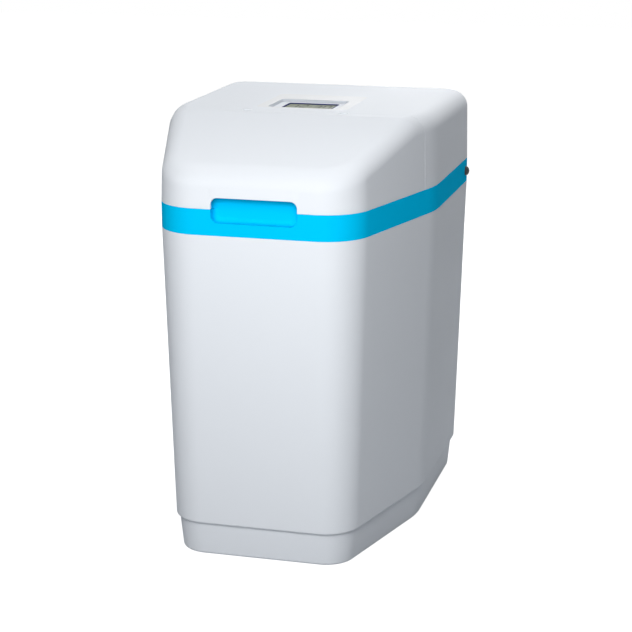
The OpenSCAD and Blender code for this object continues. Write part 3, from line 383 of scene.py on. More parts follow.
def wrap(mesh: bpy.types.Mesh, name: str, finish: Finish, angle: float = SMOOTH_ANGLE) -> bpy.types.Object:
    """Turns a mesh into a shaded object in the scene.

    Args:
        mesh: mesh in metres.
        name: name of the piece.
        finish: its finish.
        angle: largest smooth angle in degrees.

    Returns:
        The new object.
    """
    bm = bmesh.new()
    bm.from_mesh(mesh)
    bmesh.ops.remove_doubles(bm, verts=bm.verts, dist=MERGE)
    bmesh.ops.dissolve_degenerate(bm, edges=bm.edges, dist=MERGE)
    bmesh.ops.recalc_face_normals(bm, faces=bm.faces)
    bm.to_mesh(mesh)
    bm.free()
    mesh.shade_smooth()
    mesh.set_sharp_from_angle(angle=math.radians(angle))
    mesh.materials.append(finish.material())
    obj = bpy.data.objects.new(name, mesh)
    bpy.context.scene.collection.objects.link(obj)
    weigh = obj.modifiers.new("Weighted normals", "WEIGHTED_NORMAL")
    weigh.keep_sharp = True
    weigh.weight = 80
    return obj


def lathe(name: str, profile: Sequence[tuple[float, float]], finish: Finish, spin: Matrix,
          steps: int = 48, angle: float = SMOOTH_ANGLE) -> bpy.types.Object:
    """Turns a profile round the Z axis and places it.

    Args:
        name: name of the piece.
        profile: outline as radius and height, closed unless it starts and ends on the axis.
        finish: its finish.
        spin: placement in millimetres.
        steps: number of sides.
        angle: largest smooth angle in degrees.

    Returns:
        The new object.
    """
    loft = Loft()
    turn = np.linspace(0, 2 * math.pi, steps, endpoint=False)
    rows = []
    for r, z in profile:
        ring = [spin @ Vector((r * math.cos(t), r * math.sin(t), z)) for t in turn]
        rows.append(loft.row(np.array([tuple(p) for p in ring])))
    on_axis = profile[0][0] == 0 == profile[-1][0]
    loft.chain(rows if on_axis else rows + rows[:1], closed=True)
    return loft.build(name, finish, angle)


def rounded_rect(w: float, h: float, r: float, steps: int = 6) -> np.ndarray:
    """Points round a rectangle with round corners.

    Args:
        w: width.
        h: height.
        r: corner radius.
        steps: steps in each corner.

    Returns:
        Array of n by 2, counter-clockwise from the right end of the bottom edge.
    """
    points = []
    for k, (sx, sy) in enumerate(((1, -1), (1, 1), (-1, 1), (-1, -1))):
        for i in range(steps + 1):
            t = math.radians(90 * (k - 1) + 90 * i / steps)
            points.append((sx * (w / 2 - r) + r * math.cos(t), sy * (h / 2 - r) + r * math.sin(t)))
    return np.array(points)


def slab(name: str, outline: np.ndarray, z0: float, z1: float, finish: Finish, round_mm: float = 0.3,
         place: Matrix | None = None) -> bpy.types.Object:
    """Makes a plate with rounded upper and lower edges.

    Args:
        name: name of the piece.
        outline: convex outline in plan.
        z0: lower level.
        z1: upper level.
        finish: its finish.
        round_mm: radius of its edges.
        place: placement in millimetres.

    Returns:
        The new object.
    """
    place = place or Matrix()
    ahead, behind = np.roll(outline, -1, 0), np.roll(outline, 1, 0)
    along = ahead - behind
    normal = np.stack([along[:, 1], -along[:, 0]], 1)
    normal /= np.linalg.norm(normal, axis=1)[:, None]
    loft = Loft()
    rows = []
    quarter = [math.radians(a) for a in (0, 22.5, 45, 67.5, 90)]
    levels = [(round_mm * (1 - math.sin(a)), z0 + round_mm * (1 - math.cos(a))) for a in quarter]
    levels += [(round_mm * (1 - math.cos(a)), z1 - round_mm * (1 - math.sin(a))) for a in quarter]
    for inset, z in levels:
        flat = outline - inset * normal
        points = [place @ Vector((x, y, z)) for x, y in flat]
        rows.append(loft.row(np.array([tuple(p) for p in points])))
    loft.chain(rows, closed=True)
    loft.faces.append(rows[0])
    loft.faces.append(rows[-1])
    return loft.build(name, finish)


def cut(obj: bpy.types.Object, tool: bpy.types.Object) -> None:
    """Cuts one mesh out of another and drops the tool.

    Args:
        obj: piece to cut.
        tool: closed mesh to take away.
    """
    knife = obj.modifiers.new("Cut", "BOOLEAN")
    knife.operation = "DIFFERENCE"
    knife.solver = "EXACT"
    knife.object = tool
    obj.modifiers.move(len(obj.modifiers) - 1, 0)
    deps = bpy.context.evaluated_depsgraph_get()
    weigh = obj.modifiers.get("Weighted normals")
    weigh.show_viewport = False
    deps.update()
    fresh = bpy.data.meshes.new_from_object(obj.evaluated_get(deps))
    old = obj.data
    obj.modifiers.remove(knife)
    obj.data = fresh
    weigh.show_viewport = True
    fresh.set_sharp_from_angle(angle=math.radians(SMOOTH_ANGLE))
    bpy.data.objects.remove(tool)
    bpy.data.meshes.remove(old)


def seat(obj: bpy.types.Object, body: str, slot: str, *nodes: str) -> bpy.types.Object:
    """Hands a piece to the frame.

    Args:
        obj: the piece.
        body: body that carries it.
        slot: material slot; not used.
        nodes: nodes it stands for.

    Returns:
        The same piece.
    """
    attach(obj, body)
    if nodes:
        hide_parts(*nodes)
    LOG.info("built %s", obj.name)
    return obj


# Shape shared by the casing shells

@dataclass(frozen=True)
class Doorway:
    """Notch in the front or rear edge of a shell, in half.

    Attributes:
        half: half width.
        level: level of the edge.
        reach: height of the notch, below the edge if negative.
        radius: corner radius inside the notch.
        lead: rounding where the edge turns into the notch.
        fan: width over which the columns beside the notch spread out.
        counts: columns across the notch, round its corner, round its lead and beyond.
    """

    half: float
    level: float
    reach: float
    radius: float
    lead: float = 0.8
    fan: float = 6.0
    counts: tuple[int, int, int, int] = (8, 8, 5, 4)

    def profile(self, far: float) -> np.ndarray:
        """Edge from the middle of the notch out along the shell.

        Args:
            far: where the flat part of the shell ends.

        Returns:
            Array of n by 4: place, level, and the outward direction of the edge.
        """
        sign = math.copysign(1, self.reach)
        top, r, q, inner = abs(self.reach), self.radius, self.lead, self.half - self.radius
        across, bend, lead, rest = self.counts
        rows = [(x, top, 0.0, -1.0) for x in np.linspace(0, inner, across)]
        for a in np.radians(np.linspace(0, 90, bend + 1))[1:]:
            u, v = math.sin(a), math.cos(a)
            rows.append((inner + r * u, top - r + r * v, -u, -v))
        for a in np.radians(np.linspace(0, 90, lead)):
            u, v = math.sin(a), math.cos(a)
            rows.append((self.half + q - q * v, q - q * u, -v, -u))
        rows += [(x, 0.0, 0.0, -1.0) for x in np.linspace(self.half + q, far, rest + 1)[1:]]
        return np.array([(x, self.level + sign * z, nx, sign * nz) for x, z, nx, nz in rows])

    def spread(self, far: float) -> np.ndarray:
        """Places of the same columns on a row that passes the notch by.

        Args:
            far: where the flat part of the shell ends.

        Returns:
            One place for each row of the profile.
        """
        start, side = self.half - self.radius, self.half + self.lead
        across, bend, lead, rest = self.counts
        stops = ((start, side, bend), (side, side + self.fan, lead), (side + self.fan, far, rest))
        parts = [np.linspace(a, b, count + 1)[1:] for a, b, count in stops]
        return np.concatenate([np.linspace(0, start, across), *parts])


class Span(Enum):
    """Part of the plan that a shell covers."""

    LID = "front of the seam"
    COVER = "behind the seam"


@dataclass(frozen=True)
class CasingPlan:
    """Plan and top of the casing.

    A column of a shell is a row of five numbers: its place in plan, the outward direction along which
    insets are taken, and its tuck, by which the rounded seam edge draws it in.

    Attributes:
        width: width across the rear half.
        depth: depth over all.
        front_w: width of the front face between its sharp corners.
        flare_d: depth of the flared front half.
        front_r: radius of the front corners.
        bend_r: radius where the flare ends.
        rear_r: radius of the rear corners.
        top: height over all.
        slope: slope of the lid in degrees.
        seam: middle of the seam.
        gap: width of the seam.
        crease: where the slope begins.
        crease_r: half length of the rounded crease.
        crease_run: distance of the last wide column from the crease, and half the run of close ones.
        shoulder: width and height of the rounded shoulder.
        draft: draft of the upper walls.
        lead: rounding of the seam edges.
        arc_steps: steps round each corner.
        bend_steps: steps round the end of the flare.
    """

    width: float = 334.0
    depth: float = 440.0
    front_w: float = 224.0
    flare_d: float = 206.0
    front_r: float = 54.0
    bend_r: float = 150.0
    rear_r: float = 36.0
    top: float = 511.0
    slope: float = 16.0
    seam: float = -44.0
    gap: float = 0.5
    crease: float = -65.0
    crease_r: float = 0.7
    crease_run: tuple[float, float] = (6.0, 3.5)
    shoulder: tuple[float, float] = (22.0, 21.0)
    draft: float = 1.2
    lead: float = 0.4
    arc_steps: int = 18
    bend_steps: int = 14

    @property
    def flare(self) -> float:
        """Angle of the flared sides."""
        return math.atan((self.width - self.front_w) / 2 / self.flare_d)

    @property
    def front_half(self) -> float:
        """Half width of the flat front face."""
        return self.flare_x(-self.depth / 2 + self.front_r, self.front_r)

    @property
    def rear_half(self) -> float:
        """Half width of the flat rear face."""
        return self.width / 2 - self.rear_r

    def flare_x(self, y: np.ndarray | float, inset: float = 0.0) -> np.ndarray | float:
        """Half width of the flared part at a depth, for an inset."""
        return self.front_w / 2 + (y + self.depth / 2) * math.tan(self.flare) - inset / math.cos(self.flare)

    def top_z(self, y: np.ndarray) -> np.ndarray:
        """Height of the top, with the crease rounded.

        Args:
            y: depths.

        Returns:
            One height for each depth.
        """
        u, t = self.crease - y, self.crease_r
        fall = np.where(u < -t, 0.0, np.where(u > t, u, (u + t) ** 2 / (4 * t)))
        return self.top - math.tan(math.radians(self.slope)) * fall

    @staticmethod
    def column(x: np.ndarray | float, y: np.ndarray | float, out_x: np.ndarray | float,
               out_y: np.ndarray | float, tuck: np.ndarray | float = 0.0) -> np.ndarray:
        """Columns from their five parts, each a number or an array."""
        return np.column_stack(np.broadcast_arrays(x, y, out_x, out_y, tuck))

    def arc(self, cx: float, cy: float, r: float, first: float, last: float, steps: int) -> np.ndarray:
        """Columns round a corner.

        Args:
            cx: middle of the corner across.
            cy: middle of the corner in depth.
            r: radius.
            first: first angle.
            last: last angle.
            steps: number of steps.

        Returns:
            Array of n by 5.
        """
        t = np.linspace(first, last, steps + 1)
        return self.column(cx + r * np.cos(t), cy + r * np.sin(t), np.cos(t), np.sin(t))

    def side(self, ys: np.ndarray, tuck: np.ndarray | float = 0.0) -> np.ndarray:
        """Columns on the flared side at fixed depths."""
        return self.column(self.flare_x(ys), ys, 1 / math.cos(self.flare), 0.0, tuck)

    def seam_edge(self, edge: float, way: int) -> np.ndarray:
        """Columns of the rounded edge at the seam, which lies before (1) or behind (-1) the shell."""
        return self.side(edge + way * self.lead * QUARTER[::-1], self.lead * QUARTER)

    def lid_half(self, xs: np.ndarray) -> np.ndarray:
        """Right-hand columns of the lid, from the front middle to the seam.

        Args:
            xs: places of the columns on half of the front face.

        Returns:
            Array of n by 5.
        """
        y0, r = -self.depth / 2, self.front_r
        corner = self.arc(self.flare_x(y0 + r, r), y0 + r, r, -math.pi / 2, -self.flare, self.arc_steps)
        end, (far, near) = self.seam - self.gap / 2, self.crease_run
        ys = np.concatenate([np.linspace(corner[-1, 1], self.crease - far, 9)[1:],
                             self.crease + np.linspace(-near, near, 15), [end - 2 * self.lead]])
        return np.vstack([self.column(xs, y0, 0.0, -1.0), corner[1:], self.side(ys), self.seam_edge(end, -1)])

    def cover_half(self, xs: np.ndarray) -> np.ndarray:
        """Right-hand columns behind the seam, from the rear middle to the seam.

        Args:
            xs: places of the columns on half of the rear face.

        Returns:
            Array of n by 5.
        """
        half_w, y1, r = self.width / 2, self.depth / 2, self.rear_r
        start = self.seam + self.gap / 2
        bend_y = -y1 + self.flare_d + self.bend_r * math.tan(self.flare / 2)
        bend = self.arc(half_w - self.bend_r, bend_y, self.bend_r, 0.0, -self.flare, self.bend_steps)
        corner = self.arc(half_w - r, y1 - r, r, math.pi / 2, 0.0, self.arc_steps)
        wall = self.column(half_w, np.linspace(y1 - r, bend_y, 6)[1:-1], 1.0, 0.0)
        ys = np.linspace(bend[-1, 1], start + 2 * self.lead, 6)[1:]
        return np.vstack([self.column(xs, y1, 0.0, 1.0), corner[1:], wall, bend,
                          self.side(ys), self.seam_edge(start, 1)])

    def ring_half(self, near: np.ndarray, far: np.ndarray) -> np.ndarray:
        """Right-hand columns all the way from the front middle to the rear middle.

        Args:
            near: places of the columns on half of the front face.
            far: places of the columns on half of the rear face.

        Returns:
            Array of n by 5.
        """
        front, back = self.lid_half(near), self.cover_half(far)
        before = (front[:, 1] < self.crease - self.crease_run[1]) | (front[:, 3] != 0.0)
        # Below the lid there is no seam, so the columns close to it are left out
        front = front[(front[:, 4] == 0) & before]
        back = back[back[:, 4] == 0][:-2]
        return np.vstack([front, back[::-1]])


@dataclass(frozen=True)
class Hinge:
    """Knuckle hinge between the rear cover and the salt lid.

    Attributes:
        y: depth of the axis.
        z: level of the axis.
        spread: distance of each hinge from the middle.
        knuckle: width of the knuckles.
        knuckle_r: radius of the knuckles.
        arm: half thickness of the arms that carry them.
        ear: width of the lid's ears.
        ear_r: radius of the ears.
        ear_gap: gap between ear and knuckle.
        ear_lead: rounding of the ears.
        pin_r: radius of the hole for the pin.
        room: room before the knuckle, for the swing.
        back: length of the notch behind the axis.
    """

    y: float
    z: float
    spread: float = 60.0
    knuckle: float = 10.0
    knuckle_r: float = 3.9
    arm: float = 3.0
    ear: float = 8.0
    ear_r: float = 3.8
    ear_gap: float = 0.25
    ear_lead: float = 0.5
    pin_r: float = 2.05
    room: float = 4.4
    back: float = 12.0

    @property
    def notch(self) -> float:
        """Width of the notch round a knuckle."""
        return self.knuckle + 2 * self.ear_gap


PLAN = CasingPlan()
HINGE = Hinge(-50.5, PLAN.top - 4.0)
# Recess in the cover's top: its middle in depth, width and length, and its corner radius
RECESS = (17.0, 86.0, 68.0)
RECESS_R = 6.0


def flipped(rows: np.ndarray) -> np.ndarray:
    """Mirror images of columns, in reverse order."""
    return rows[::-1] * np.array([-1.0, 1.0, -1.0, 1.0, 1.0])


def mirrored(half: np.ndarray) -> np.ndarray:
    """Joins right-hand columns with their mirror images, end to end."""
    return np.vstack([flipped(half[1:]), half])


def ringed(half: np.ndarray) -> np.ndarray:
    """Joins right-hand columns with their mirror images into a ring."""
    return np.vstack([half, flipped(half[1:-1])])


def level_row(columns: np.ndarray, inset: float, z: float) -> np.ndarray:
    """One level row.

    Args:
        columns: columns of the casing.
        inset: inset from the outer face.
        z: level.

    Returns:
        Array of n by 3.
    """
    flat = columns[:, :2] - inset * columns[:, 2:4]
    return np.column_stack([flat, np.full(len(flat), z)])


@dataclass
class Shell:
    """Thin upper shell with a rounded shoulder, open at the seam.

    Attributes:
        span: part of the plan.
        base: level of the lower edge.
        wall: wall thickness.
        door: notch in the front or rear edge.
        steps: steps of the rounded shoulder.
        lead: rounding of the lower edge.
    """

    span: Span
    base: float
    wall: float
    door: Doorway
    steps: int = 16
    lead: float = 0.7

    def layout(self) -> tuple[np.ndarray, np.ndarray]:
        """Columns of the shell and its notch profile.

        Returns:
            Columns of n by 5, and profile of k by 4.
        """
        far = PLAN.front_half if self.span is Span.LID else PLAN.rear_half
        half = PLAN.lid_half if self.span is Span.LID else PLAN.cover_half
        return mirrored(half(self.door.spread(far))), self.door.profile(far)

    def edge(self, columns: np.ndarray, door: np.ndarray, inset: float, lift: float) -> np.ndarray:
        """One row along the lower edge.

        Args:
            columns: columns of the shell.
            door: notch profile.
            inset: inset from the outer face.
            lift: distance from the edge.

        Returns:
            Array of n by 3.
        """
        mid, k = len(columns) // 2, len(door)
        points = np.empty((len(columns), 3))
        points[:, :2] = columns[:, :2] - (inset + columns[:, 4:]) * columns[:, 2:4]
        points[:, 2] = self.base + lift
        x, z = door[:, 0] - lift * door[:, 2], door[:, 1] - lift * door[:, 3]
        right, left = slice(mid, mid + k), slice(mid - k + 1, mid + 1)
        points[right, 0], points[right, 2] = x, z
        points[left, 0], points[left, 2] = -x[::-1], z[::-1]
        return points

    def brow(self, columns: np.ndarray, angle: float, inside: float) -> np.ndarray:
        """One row on the rounded shoulder.

        Args:
            columns: columns of the shell.
            angle: angle on the shoulder, 0 at the wall.
            inside: distance inside the outer skin.

        Returns:
            Array of n by 3.
        """
        w, h = PLAN.shoulder
        inset = inside + PLAN.draft + w * (1 - math.cos(angle))
        tuck = columns[:, 4]
        points = np.empty((len(columns), 3))
        points[:, :2] = columns[:, :2] - (inset + tuck * math.cos(angle))[:, None] * columns[:, 2:4]
        points[:, 2] = PLAN.top_z(points[:, 1]) - inside - h * (1 - math.sin(angle)) - tuck * math.sin(angle)
        return points

    def build(self, name: str, finish: Finish) -> bpy.types.Object:
        """Builds the closed shell.

        Args:
            name: name of the piece.
            finish: its finish.

        Returns:
            The new object.
        """
        columns, door = self.layout()
        plain = columns.copy()
        plain[:, 4] = 0
        loft = Loft()
        turn = [math.pi / 2 * i / self.steps for i in range(self.steps + 1)]
        lips = [(self.lead, 0.0), (0.0, self.lead)]
        outer = [loft.row(self.edge(columns, door, d, z)) for d, z in lips]
        outer += [loft.row(self.brow(columns, a, 0.0)) for a in turn]
        inner = [loft.row(self.edge(plain, door, self.wall, z)) for _, z in lips]
        inner += [loft.row(self.brow(plain, a, self.wall)) for a in turn]
        loft.chain(outer)
        loft.chain(inner)
        loft.bridge(outer[0], inner[0])
        for (a, b), (c, d) in zip(zip(outer, outer[1:]), zip(inner, inner[1:])):
            for end in (0, -1):
                loft.faces.append([a[end], b[end], d[end], c[end]])
        loft.faces.append([outer[-1][0], outer[-1][-1], inner[-1][-1], inner[-1][0]])
        ends = len(columns) // 2 - len(door)
        loft.cap(outer[-1], ends)
        loft.cap(inner[-1], ends)
        return loft.build(name, finish)


@dataclass
class SaltLid:
    """Sloping lid over the salt, hinged just before the seam.

    Attributes:
        door: notch over the finger pull.
        wall: wall thickness.
        lead: rounding of the lower edge.
    """

    door: Doorway = Doorway(50.5, 423.2, 13.3, 8.0)
    wall: float = 3.0
    lead: float = 0.4

    def build(self) -> None:
        """Builds the skin, cuts the hinge notches and adds the ears."""
        shell = Shell(Span.LID, self.door.level, self.wall, self.door, lead=self.lead)
        skin = shell.build("salt_lid_skin", WHITE_ABS)
        room, back = HINGE.room, HINGE.back
        low, high = HINGE.z - 2 * room, HINGE.z + back
        outline = rounded_rect(HINGE.notch, room + back, TOOL_CORNER)
        for side in SIDES.values():
            place = Matrix.Translation((side * HINGE.spread, HINGE.y + (back - room) / 2, 0))
            cut(skin, slab("notch_tool", outline, low, high, WHITE_ABS, TOOL_EDGE, place))
        seat(skin, "salt_lid", "white_plastic", "salt_lid")
        for tag, side in SIDES.items():
            for end, flank in SIDES.items():
                x = side * HINGE.spread + flank * (HINGE.notch + HINGE.ear) / 2
                self.ear(f"lid_ear_{tag}{end}", x)

    @staticmethod
    def ear(name: str, x: float) -> None:
        """One ear of the lid, round a hinge pin.

        Args:
            name: name of the piece.
            x: its middle.
        """
        half, r, q, pin = HINGE.ear / 2, HINGE.ear_r, HINGE.ear_lead, HINGE.pin_r
        rim = [(pin, -half), (pin, half), (r - q, half), (r, half - q), (r, q - half), (r - q, -half)]
        spin = Matrix.Translation((x, HINGE.y, HINGE.z)) @ Matrix.Rotation(math.pi / 2, 4, "Y")
        seat(lathe(name, rim, WHITE_ABS, spin), "salt_lid", "white_plastic")


@dataclass
class RearCover:
    """Fixed cover over the valve, with the control panel in its top.

    Attributes:
        door: pipe opening in its back.
        wall: wall thickness.
        opening_gap: room round the panel's recess.
        tool_reach: how far the cut for the recess reaches past the top, both ways.
        bulkhead: front and rear of the inner wall.
        bulkhead_z: lower edge of the inner wall.
        bulkhead_gap: room of the inner wall to the skin's side and to its top.
        lug_root: how far the hinge lugs run back past the seam.
        lug_edge: width of the lugs' rounded edges.
        lug_end: share of their section left at the ends.
        lug_steps: steps round a knuckle.
    """

    door: Doorway = Doorway(92.5, 423.0, 43.0, 8.0)
    wall: float = 3.0
    opening_gap: float = 0.6
    tool_reach: float = 12.0
    bulkhead: tuple[float, float] = (-40.0, -37.0)
    bulkhead_z: float = 432.0
    bulkhead_gap: tuple[float, float] = (0.4, 0.2)
    lug_root: float = 1.0
    lug_edge: float = 0.1
    lug_end: float = 0.97
    lug_steps: int = 40

    def build(self) -> None:
        """Builds the skin, the inner wall and the hinge lugs."""
        skin = Shell(Span.COVER, self.door.level, self.wall, self.door).build("rear_cover_skin", WHITE_ABS)
        y, w, l = RECESS
        outline = rounded_rect(w + 2 * self.opening_gap, l + 2 * self.opening_gap, RECESS_R)
        low, high = PLAN.top - self.tool_reach, PLAN.top + self.tool_reach
        cut(skin, slab("opening_tool", outline, low, high, WHITE_ABS, place=Matrix.Translation((0, y, 0))))
        seat(skin, "casing", "white_plastic", "rear_cover")
        self.inner_wall()
        for tag, side in SIDES.items():
            self.lug(f"hinge_lug_{tag}", side * HINGE.spread)

    def inner_wall(self) -> None:
        """Wall that closes the cover towards the salt."""
        w, h = PLAN.shoulder
        inset, below = (self.wall + gap for gap in self.bulkhead_gap)
        turn = np.radians(np.linspace(0, 90, 13))
        insets = np.concatenate([[inset], inset + PLAN.draft + w * (1 - np.cos(turn))])
        levels = np.concatenate([[self.bulkhead_z], PLAN.top - below - h * (1 - np.sin(turn))])
        loft = Loft()
        rows = []
        for y in self.bulkhead:
            x = PLAN.flare_x(y) - insets / math.cos(PLAN.flare)
            right = np.stack([x, np.full(len(x), y), levels], 1)
            left = right[::-1] * np.array([-1.0, 1.0, 1.0])
            rows.append(loft.row(np.vstack([right, left])))
        loft.bridge(rows[0], rows[1], closed=True)
        loft.faces += rows
        seat(loft.build("cover_inner_wall", WHITE_ABS), "casing", "white_plastic")

    def lug(self, name: str, x: float) -> None:
        """One hinge lug, from the cover's edge to its knuckle.

        Args:
            name: name of the piece.
            x: its middle.
        """
        r, arm, half = HINGE.knuckle_r, HINGE.arm, HINGE.knuckle / 2
        back, start = PLAN.seam + self.lug_root, math.asin(arm / r)
        turn = np.linspace(start, 2 * math.pi - start, self.lug_steps)
        shape = [(HINGE.y + r * math.cos(t), HINGE.z + r * math.sin(t)) for t in turn]
        shape = np.array(shape + [(back, HINGE.z - arm), (back, HINGE.z + arm)])
        centre = np.mean(shape, axis=0)
        inner = half - self.lug_edge
        loft = Loft()
        rows = []
        for shift, share in ((-half, self.lug_end), (-inner, 1.0), (inner, 1.0), (half, self.lug_end)):
            section = centre + share * (shape - centre)
            rows.append(loft.row(np.column_stack([np.full(len(section), x + shift), section])))
        loft.chain(rows, closed=True)
        loft.faces += [rows[0], rows[-1]]
        seat(loft.build(name, WHITE_ABS), "casing", "white_plastic")


@dataclass
class Cabinet:
    """Salt cabinet with its plinth.

    Attributes:
        height: level of the upper edge.
        plinth: height of the plinth.
        inset: inset of the plinth at its top and at its foot.
        draft: inset of the body at its lower edge.
        edge: rounding of the body's lower edge.
        foot: rounding of the foot.
        hollow: insets of the hollow under the foot, from its middle out.
        hollow_z: depth of the hollow.
        shadow: groove over the plinth: its start below, its depth and its end above.
        wall: wall thickness.
        floor: thickness of the floor.
        cove: rounding inside, along the floor.
        lead: rounding of the upper edge.
        count: columns on half of the front and of the rear face.
    """

    height: float = 393.0
    plinth: float = 40.0
    inset: tuple[float, float] = (14.3, 18.0)
    draft: float = 10.3
    edge: float = 4.0
    foot: float = 3.5
    hollow: tuple[float, float, float] = (12.0, 9.0, 8.0)
    hollow_z: float = 1.0
    shadow: tuple[float, float, float] = (0.8, 0.5, 0.4)
    wall: float = 4.0
    floor: float = 4.0
    cove: float = 3.0
    lead: float = 0.6
    count: int = 10

    def profile(self) -> list[tuple[float, float]]:
        """Inset and level of each row, from the middle of the floor's underside.

        Returns:
            Rows from the underside up the outside and down the inside.
        """
        top, foot = self.inset
        base, high, q, r = self.plinth, self.height, self.lead, self.foot
        quarter = np.radians(np.linspace(0, 90, 7))
        far, mid, near = (foot + d for d in self.hollow)
        rows = [(far, self.hollow_z), (mid, self.hollow_z), (near, 0.0)]
        rows += [(foot + r * (1 - math.sin(a)), r * (1 - math.cos(a))) for a in quarter]
        below, deep, above = self.shadow
        rows += [(top, base - below), (top + deep, base + above)]
        span = top - self.draft
        rows += [(self.draft + span * (1 - math.sin(a)), base + self.edge * (1 - math.cos(a)))
                 for a in quarter[1:]]
        rise = np.linspace(base + self.edge, high - q, 9)[1:]
        rows += [(self.draft * (high - z) / (high - base), z) for z in rise]
        rows += [(0.29 * q, high - 0.29 * q), (q, high), (self.wall, high)]
        rows += [(top + self.wall, base + self.edge), (foot + self.wall, self.floor + self.cove),
                 (foot + self.wall + self.cove, self.floor)]
        return rows

    def build(self) -> None:
        """Builds the cabinet."""
        faces = (np.linspace(0, far, self.count) for far in (PLAN.front_half, PLAN.rear_half))
        half = PLAN.ring_half(*faces)
        columns = ringed(half)
        loft = Loft()
        rows = [loft.row(level_row(columns, inset, z)) for inset, z in self.profile()]
        loft.chain(rows, closed=True)
        for row in (rows[0], rows[-1]):
            loft.cap_ring(row, self.count - 1, len(half) - self.count)
        seat(loft.build("cabinet_body", WHITE_ABS, 40), "casing", "white_plastic", "cabinet")


@dataclass
class Band:
    """Coloured collar between cabinet and lid, with the finger pull.

    Attributes:
        low: lower level.
        high: upper level.
        lip: inset and height of the lip.
        lip_draft: draft of the lip.
        inside: inset of the inner face.
        skirt: depth of the skirt.
        lead: rounding of the outer edges.
        door: notch for the finger pull.
        depth: depth of the finger pull.
        fillet: radius between its floor and back.
        rise: height of its back above the band.
        wall: wall of the finger pull.
        fit: how far the tray stands inside the notch and, in front, under it.
        step: how far the tray's mouth lies behind the band's rounding.
        chamfer: depth over which the tray's outside narrows towards its mouth.
        back_edge: rounding of the finger pull's back.
        back_lap: how far its back laps into the tray.
    """

    low: float = 393.0
    high: float = 423.0
    lip: tuple[float, float] = (5.4, 8.0)
    lip_draft: float = 0.3
    inside: float = 8.2
    skirt: float = 12.0
    lead: float = 0.4
    door: Doorway = Doorway(50.5, 423.0, -15.6, 9.0)
    depth: float = 13.0
    fillet: float = 6.0
    rise: float = 12.8
    wall: float = 2.6
    fit: tuple[float, float] = (0.06, 0.4)
    step: float = 0.1
    chamfer: float = 1.0
    back_edge: float = 0.6
    back_lap: float = 0.05

    def build(self) -> None:
        """Builds the ring and the finger pull."""
        far = PLAN.front_half
        door = self.door.profile(far)
        columns = ringed(PLAN.ring_half(self.door.spread(far), np.linspace(0, PLAN.rear_half, 10)))
        q, (lip, tall), foot = self.lead, self.lip, self.low - self.skirt
        low = [(lip, self.low), (q, self.low), (0.0, self.low + q)]
        high = [(0.0, q, 0.0), (q, 0.0, 0.0), (lip, 0.0, 0.0), (lip + self.lip_draft, 0.0, tall),
                (self.inside, 0.0, tall)]
        loft = Loft()
        rows = [loft.row(level_row(columns, d, z)) for d, z in low]
        rows += [loft.row(self.door_row(columns, door, d, drop, up)) for d, drop, up in high]
        rows += [loft.row(level_row(columns, d, foot)) for d in (self.inside, lip)]
        loft.chain(rows + rows[:1], closed=True)
        seat(loft.build("collar_band", CYAN_ABS), "casing", "band_plastic", "collar_frame")
        self.tray(door)
        self.back()

    def door_row(self, columns: np.ndarray, door: np.ndarray, inset: float, drop: float,
                 up: float) -> np.ndarray:
        """One row that dips into the finger pull.

        Args:
            columns: columns of the ring.
            door: notch profile.
            inset: inset from the outer face.
            drop: distance below the edge.
            up: height above the edge, outside the notch.

        Returns:
            Array of n by 3.
        """
        points = level_row(columns, inset, self.high - drop + up)
        k = len(door)
        x, z = door[:, 0] - drop * door[:, 2], door[:, 1] - drop * door[:, 3]
        outside = (np.abs(door[:, 3]) > 0.999) & (door[:, 0] > self.door.half)
        z = np.where(outside, z + up, z)
        points[:k, 0], points[:k, 2] = x, z
        points[1 - k:, 0], points[1 - k:, 2] = -x[1:][::-1], z[1:][::-1]
        return points

    def tray(self, door: np.ndarray) -> None:
        """Dished tray of the finger pull.

        Args:
            door: notch profile of the band.
        """
        inner = door[door[:, 0] <= self.door.half + 1e-6]
        both = np.vstack([inner[1:][::-1] * np.array([-1.0, 1.0, -1.0, 1.0]), inner])
        (snug, under), f, mouth = self.fit, self.fillet, self.lead + self.step
        quarter = np.radians(np.linspace(0, 90, 8))[1:]
        steps = [(snug, mouth), (snug, self.depth - f)]
        steps += [(snug + f * (1 - math.cos(a)), self.depth - f + f * math.sin(a)) for a in quarter]
        back = self.depth + self.wall
        steps += [(f, back), (-self.wall, back), (-self.wall, self.inside),
                  (-under, self.inside - self.chamfer), (-under, mouth)]
        loft = Loft()
        rows = []
        for inward, deep in steps:
            x, z = both[:, 0] + inward * both[:, 2], both[:, 1] + inward * both[:, 3]
            rows.append(loft.row(np.column_stack([x, np.full(len(x), deep - PLAN.depth / 2), z])))
        loft.chain(rows + rows[:1])
        for end in (0, -1):
            loft.faces.append([r[end] for r in rows])
        seat(loft.build("finger_pull_tray", CYAN_ABS, 50), "casing", "band_plastic", "finger_pull")

    def back(self) -> None:
        """Back plate of the finger pull, which stands up behind the lid's edge."""
        low, high = self.door.level + self.door.reach, self.high + self.rise
        outline = rounded_rect(2 * (self.door.half + self.wall), high - low, self.door.radius, 8)
        middle = (0, self.depth - PLAN.depth / 2, (low + high) / 2)
        place = Matrix.Translation(middle) @ Matrix.Rotation(math.pi / 2, 4, "X")
        plate = slab("finger_pull_back", outline, -self.wall, self.back_lap, CYAN_ABS, self.back_edge, place)
        seat(plate, "casing", "band_plastic")


